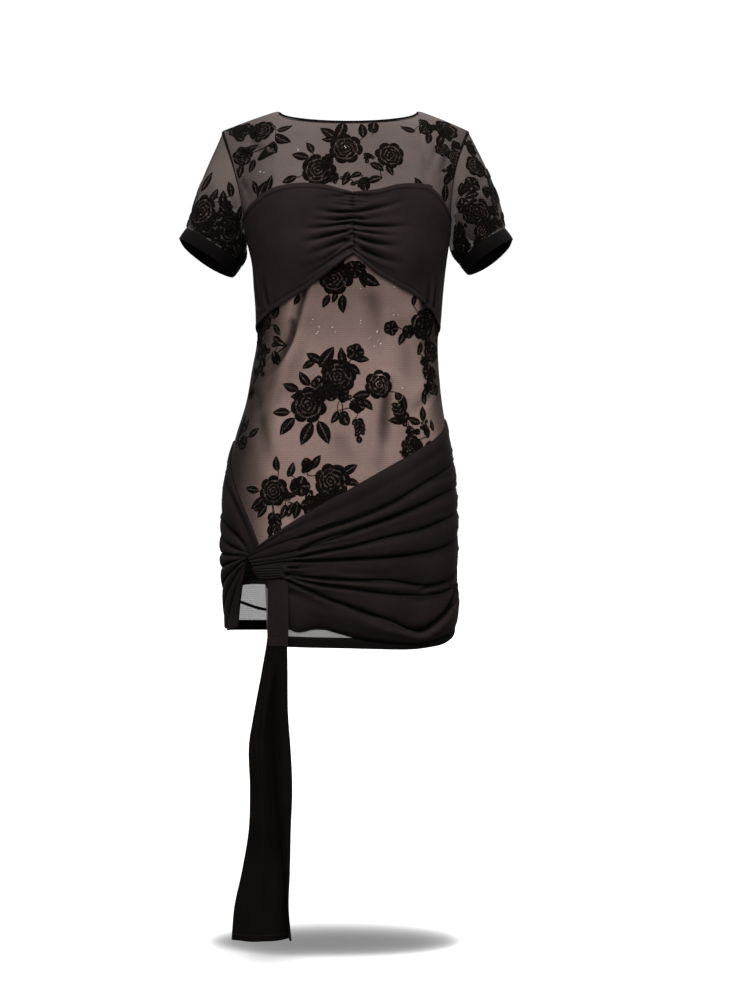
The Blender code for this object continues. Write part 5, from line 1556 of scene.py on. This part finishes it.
class Nodes:
    """A short way to write a material's nodes."""

    def __init__(self, tree):
        self.tree = tree
        tree.nodes.clear()

    def add(self, kind, inputs=None, **settings):
        node = self.tree.nodes.new(kind)
        for name, value in settings.items():
            setattr(node, name, value)
        for name, value in (inputs or {}).items():
            if isinstance(value, bpy.types.NodeSocket):
                self.tree.links.new(value, node.inputs[name])
            else:
                node.inputs[name].default_value = value
        return node

    def ramp(self, factor, stops, interpolation="LINEAR"):
        node = self.add("ShaderNodeValToRGB", {"Fac": factor})
        node.color_ramp.interpolation = interpolation
        elements = node.color_ramp.elements
        while len(elements) < len(stops):
            elements.new(0.5)
        for element, (place, value) in zip(elements, stops):
            element.position = place
            element.color = (value, value, value, 1) if isinstance(value, float) else (*value, 1)
        return node.outputs["Color"]

    def math(self, operation, a, b=0.0):
        node = self.add("ShaderNodeMath", operation=operation)
        for socket, value in zip(node.inputs, (a, b)):
            if isinstance(value, bpy.types.NodeSocket):
                self.tree.links.new(value, socket)
            else:
                socket.default_value = value
        return node.outputs[0]

    def mean(self, a, b, share):
        """This share of the first value and the rest of the second."""
        return self.math("ADD", self.math("MULTIPLY", a, share), self.math("MULTIPLY", b, 1 - share))

    def wave(self, place, scale, distortion, detail=1.0, way="Z", **more):
        inputs = {"Vector": place, "Scale": scale, "Distortion": distortion, "Detail": detail, **more}
        return self.add("ShaderNodeTexWave", inputs, bands_direction=way).outputs["Fac"]

    def noise(self, place, scale, detail=2.0, roughness=0.5):
        inputs = {"Vector": place, "Scale": scale, "Detail": detail, "Roughness": roughness}
        return self.add("ShaderNodeTexNoise", inputs).outputs["Fac"]


def new_material(name):
    made = bpy.data.materials.new(name)
    made.use_nodes = True
    nodes = Nodes(made.node_tree)
    place = nodes.add("ShaderNodeTexCoord").outputs["Object"]
    return made, nodes, place


def close_material(nodes, colour, roughness, specular, sheen=(0.0, 0.5), bump=None, **more):
    """Joins the values: a sheen is its weight and roughness, a bump its height, strength and distance."""
    inputs = {"Base Color": colour, "Roughness": roughness, "Specular IOR Level": specular,
              "Sheen Weight": sheen[0], "Sheen Roughness": sheen[1], **more}
    if bump is not None:
        settings = dict(zip(("Height", "Strength", "Distance"), bump))
        inputs["Normal"] = nodes.add("ShaderNodeBump", settings).outputs["Normal"]
    shader = nodes.add("ShaderNodeBsdfPrincipled", inputs)
    nodes.add("ShaderNodeOutputMaterial", {"Surface": shader.outputs["BSDF"]})


def jersey_material(name, dark, light, sheen):
    """Fine knitted jersey, brownish black, with a soft bloom on its turned edges."""
    made, nodes, place = new_material(name)
    knit = nodes.noise(place, 1500.0, 2.0)
    cloud = nodes.noise(place, 16.0, 3.0)
    colour = nodes.ramp(nodes.mean(knit, cloud, 0.45), ((0.36, dark), (0.64, light)))
    # Painted shade: the jersey is darker where the point attribute says it lies in a fold.
    colour = painted_shade_darker(nodes, colour, ((0.0, 1.0), (EVEN_CLOTH_SHADE, 0.74), (1.0, 0.06)))
    height = nodes.mean(knit, nodes.wave(place, 260.0, 1.2, way="X"), 0.6)
    close_material(nodes, colour, 0.78, 0.06, (sheen, 0.45), (height, 0.35, 0.0005),
                   **{"Sheen Tint": (0.55, 0.45, 0.42, 1)})
    return made


def net_material(name, tones, alphas, changes):
    """Stretch net: fine ribs run across it, and a little of what lies behind shows through.

    Its tone and how dense it is change with the height, lowest first.
    """
    made, nodes, place = new_material(name)
    z = nodes.add("ShaderNodeSeparateXYZ", {"Vector": place}).outputs["Z"]
    rib = nodes.wave(place, 101.0, 0.7, 1.5, **{"Detail Scale": 3.0})
    grain = nodes.noise(place, 900.0)
    detail = nodes.mean(rib, grain, 0.19)
    mottle = nodes.mean(detail, nodes.noise(place, 11.0), 0.55)
    stops = (0.36, 0.78), (0.62, 1.16)
    colours = [nodes.ramp(mottle, [(at, tuple(c * factor for c in tone)) for at, factor in stops])
               for tone in tones]
    levels = [nodes.add("ShaderNodeMapRange", {"Value": z, "From Min": low, "From Max": high})
              .outputs["Result"] for low, high in changes]
    colour = mix_rgba(nodes, levels[1], mix_rgba(nodes, levels[0], colours[0], colours[1]), colours[2])
    # Painted shade: the net is darker where the point attribute holds shade, at the sides, in creases and
    # under the overlay.
    colour = painted_shade_darker(nodes, colour, ((0.0, 1.0), (0.35, 0.42), (0.7, 0.13), (1.0, 0.03)))
    dense = nodes.math("ADD", nodes.math("MULTIPLY", levels[0], alphas[1] - alphas[0]), alphas[0])
    dense = nodes.math("ADD", nodes.math("MULTIPLY", levels[1], alphas[2] - alphas[1]), dense)
    holes = nodes.math("MULTIPLY", nodes.math("SUBTRACT", detail, 0.5), 0.22)
    close_material(nodes, colour, 0.85, 0.06, (0.03, 0.5), (detail, 0.30, 0.0004),
                   Alpha=nodes.math("ADD", dense, holes))
    return made


def painted_shade_darker(nodes, colour, stops):
    """The colour, darkened by the painted shade that the point attribute holds: in folds, at seams and at the
    sides.
    """
    painted_shade = nodes.add("ShaderNodeAttribute", attribute_name="painted_shade").outputs["Fac"]
    return mix_rgba(nodes, 1.0, colour, nodes.ramp(painted_shade, stops), "MULTIPLY")


def mix_rgba(nodes, factor, first, second, blend_type="MIX"):
    node = nodes.add("ShaderNodeMix", {0: factor}, data_type="RGBA", blend_type=blend_type)
    nodes.tree.links.new(first, node.inputs[6])
    nodes.tree.links.new(second, node.inputs[7])
    return node.outputs[2]


def flock_material(name, dark, light):
    """Short black pile, beaded like fine embroidery."""
    made, nodes, place = new_material(name)
    pile = nodes.noise(place, 2400.0, 1.0)
    bead = nodes.noise(place, 420.0, 2.0, 0.7)
    tone = nodes.mean(bead, pile, 0.75)
    colour = nodes.ramp(tone, ((0.47, dark), (0.62, light)))
    close_material(nodes, colour, 0.95, 0.05, (0.02, 0.35), (tone, 0.6, 0.0006))
    return made


def trim_material(name, dark, light):
    """Turned hems, bindings and rolled seams."""
    made, nodes, place = new_material(name)
    height = nodes.mean(nodes.noise(place, 1200.0), nodes.wave(place, 180.0, 1.0), 0.7)
    colour = nodes.ramp(height, ((0.3, dark), (0.7, light)))
    close_material(nodes, colour, 0.82, 0.04, (0.01, 0.5), (height, 0.4, 0.0005))
    return made


def speck_material():
    made, nodes, place = new_material("silver_specks")
    tone = nodes.noise(place, 400.0, 1.0)
    colour = nodes.ramp(tone, ((0.3, (0.80, 0.78, 0.76)), (0.7, (0.97, 0.96, 0.94))))
    close_material(nodes, colour, 0.30, 0.5, Metallic=0.2)
    return made


def set_world():
    """A white studio: light all round, brightest above in front and behind."""
    world = bpy.data.worlds.new("studio")
    bpy.context.scene.world = world
    world.use_nodes = True
    nodes = Nodes(world.node_tree)
    place = nodes.add("ShaderNodeTexCoord").outputs["Generated"]
    light = BASE_LIGHT
    for way, spread, strength in (MAIN_LIGHT, BACK_LIGHT):
        toward = nodes.add("ShaderNodeVectorMath", {0: place}, operation="DOT_PRODUCT")
        toward.inputs[1].default_value = Vector(way).normalized()
        lobe = nodes.math("POWER", nodes.math("MAXIMUM", toward.outputs["Value"], 0.0), spread)
        light = nodes.math("ADD", nodes.math("MULTIPLY", lobe, strength), light)
    camera_ray = nodes.add("ShaderNodeLightPath").outputs["Is Camera Ray"]
    mixed = nodes.add("ShaderNodeMixShader", {"Fac": camera_ray})
    for socket, strength in ((1, light), (2, SEEN_LIGHT)):
        white = nodes.add("ShaderNodeBackground", {"Color": (1, 1, 1, 1), "Strength": strength})
        nodes.tree.links.new(white.outputs[0], mixed.inputs[socket])
    nodes.add("ShaderNodeOutputWorld", {"Surface": mixed.outputs[0]})


def stage_piece(name, ring, tones, mottle, specular, **more):
    """A flat piece of the studio with this outline, which isn't part of the dress."""
    finish, nodes, place = new_material(f"{name}_finish")
    colour = nodes.ramp(nodes.noise(place, mottle), tuple(enumerate(tones)))
    close_material(nodes, colour, 0.9, specular, **more)
    data = bpy.data.meshes.new(name)
    data.from_pydata(ring, [], [list(range(len(ring)))])
    data.materials.append(finish)
    made = bpy.data.objects.new(name, data)
    bpy.context.scene.collection.objects.link(made)
    return made


def set_floor_and_key():
    """A white floor, a dark card under the hem that gives the floor its shadow, and a faint key light."""
    corners = [(-20, -20, FLOOR), (20, -20, FLOOR), (20, 20, FLOOR), (-20, 20, FLOOR)]
    floor = stage_piece("floor", corners, (0.93, 0.97), 6.0, 0.0,
                        **{"Emission Color": (1, 1, 1, 1), "Emission Strength": FLOOR_GLOW})
    floor.visible_diffuse = False
    floor.visible_glossy = False
    x, y, half_x, half_y, z = SHADOW_CARD
    turn = np.linspace(0, 2 * np.pi, 49)[:-1]
    card = stage_piece("shadow_card", [(x + half_x * np.cos(t), y + half_y * np.sin(t), z) for t in turn],
                       (0.04, 0.06), 8.0, 0.5)
    card.visible_camera = False

    key = bpy.data.lights.new("key", "AREA")
    key.energy, key.size = KEY_POWER, KEY_SIZE
    key = bpy.data.objects.new("key", key)
    key.location = KEY_PLACE
    key.rotation_mode = "QUATERNION"
    key.rotation_quaternion = (Vector(KEY_AIM) - key.location).to_track_quat("-Z", "Y")
    bpy.context.scene.collection.objects.link(key)


def set_camera():
    data = bpy.data.cameras.new("camera")
    data.sensor_width = 36.0
    data.lens = CAMERA_LENS
    data.clip_start, data.clip_end = 0.05, 60.0
    camera = bpy.data.objects.new("camera", data)
    camera.location = CAMERA_PLACE
    camera.rotation_euler = (np.radians(90 - CAMERA_TILT), 0, 0)
    bpy.context.scene.collection.objects.link(camera)
    bpy.context.scene.camera = camera
    bpy.context.scene.view_settings.view_transform = "Standard"


def main():
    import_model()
    overlay = jersey_material("bust_jersey", (0.0185, 0.0127, 0.0124), (0.0320, 0.0225, 0.0222), 0.02)
    wrap = jersey_material("wrap_jersey", (0.0094, 0.0065, 0.0060), (0.0172, 0.0124, 0.0116), 0.015)
    tie = jersey_material("tie_jersey", (0.0017, 0.0012, 0.0010), (0.0042, 0.0031, 0.0026), 0.01)
    tones = ((0.140, 0.133, 0.131), (0.240, 0.163, 0.143), (0.118, 0.092, 0.085))
    changes = ((-0.70, -0.64), (-0.24, -0.12))
    net_finish = {"front": net_material("front_net", tones, (0.915, 0.935, 0.91), changes),
                  "back": net_material("back_net", tones, (0.82, 0.935, 0.91), changes)}
    sheer = net_material("sleeve_net", ((0.115, 0.090, 0.081), (0.115, 0.090, 0.081), (0.118, 0.093, 0.084)),
                         (0.74, 0.86, 0.92), ((-0.215, -0.13), (-0.12, -0.03)))
    hem = trim_material("net_hem_trim", (0.0026, 0.0021, 0.0020), (0.0058, 0.0047, 0.0044))
    seam = trim_material("rolled_seam", (0.0026, 0.0021, 0.0019), (0.0060, 0.0048, 0.0043))
    thread = trim_material("thread", (0.020, 0.017, 0.016), (0.034, 0.029, 0.027))
    flocks = (flock_material("flock", (0.0016, 0.0011, 0.0008), (0.0100, 0.0072, 0.0056)),
              flock_material("flock_ground", (0.0120, 0.0086, 0.0070), (0.1100, 0.0800, 0.0700)))
    silver = speck_material()

    for side, name in ((FRONT, "front"), (BACK, "back")):
        made = net_panel(f"net_{name}", side, net_finish[name])
        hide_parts(f"mesh_{name}")

    stitches = hem_piece("hem_band_front", FRONT, NET_CUT_COLUMN, hem)
    stitches += hem_piece("hem_band_back", BACK, -1, hem)
    surfaces = {}
    for row in SLEEVES[1:]:
        surfaces[row[0]], lines = sleeve_pieces(row, sheer, hem)
        stitches += lines

    bust_piece("left", -1, BUST_LEFT_FOLDS, overlay)
    bust_piece("right", 1, BUST_RIGHT_FOLDS, overlay)
    wrap_front_piece(wrap)
    wrap_side_piece(wrap)
    wrap_back_piece(wrap)
    loop_piece(wrap)
    inner_fold_piece(tie)
    for line in (tab_piece(wrap), sash_piece(tie)):
        toward = np.tile([0.0, -1.0, 0.0], (len(line), 1))
        stitches.append(stitch_mesh(line + toward * 0.0003, toward, TIE_STITCH))
    stitches.append(neck_piece(seam))
    mesh_object("stitches", *join(stitches), thread, "net_hem")
    mesh_object("rolled_seams", *join(seam_parts(surfaces.values())), seam, "net_hem")

    for name, side, rows in (("front", FRONT, motif_rows("front")), ("back", BACK, back_rows())):
        flock_pieces(name, rows, net_surface(side), (*PANEL_LIMITS, 0.0), flocks)
    for name, surface in surfaces.items():
        rows = motif_rows(name)
        rows += [(kind, 2 - a, b, size, 180 - turn) for kind, a, b, size, turn in rows]
        middle = surface(np.array([0.0, 1.0]), np.array([0.6, 0.6]))[:, 0].mean()

        def raised(turn, share, lift=0.0, surface=surface):
            return surface(turn, share, NET / 2 + lift)
        flock_pieces(f"sleeve_{name}", rows, raised, (*SLEEVE_LIMITS, middle), flocks)
    mesh_object("silver_specks", *specks(net_surface(FRONT), SPECKS, 2, RNG), silver, "flocked_net")

    set_world()
    set_floor_and_key()
    set_camera()


main()
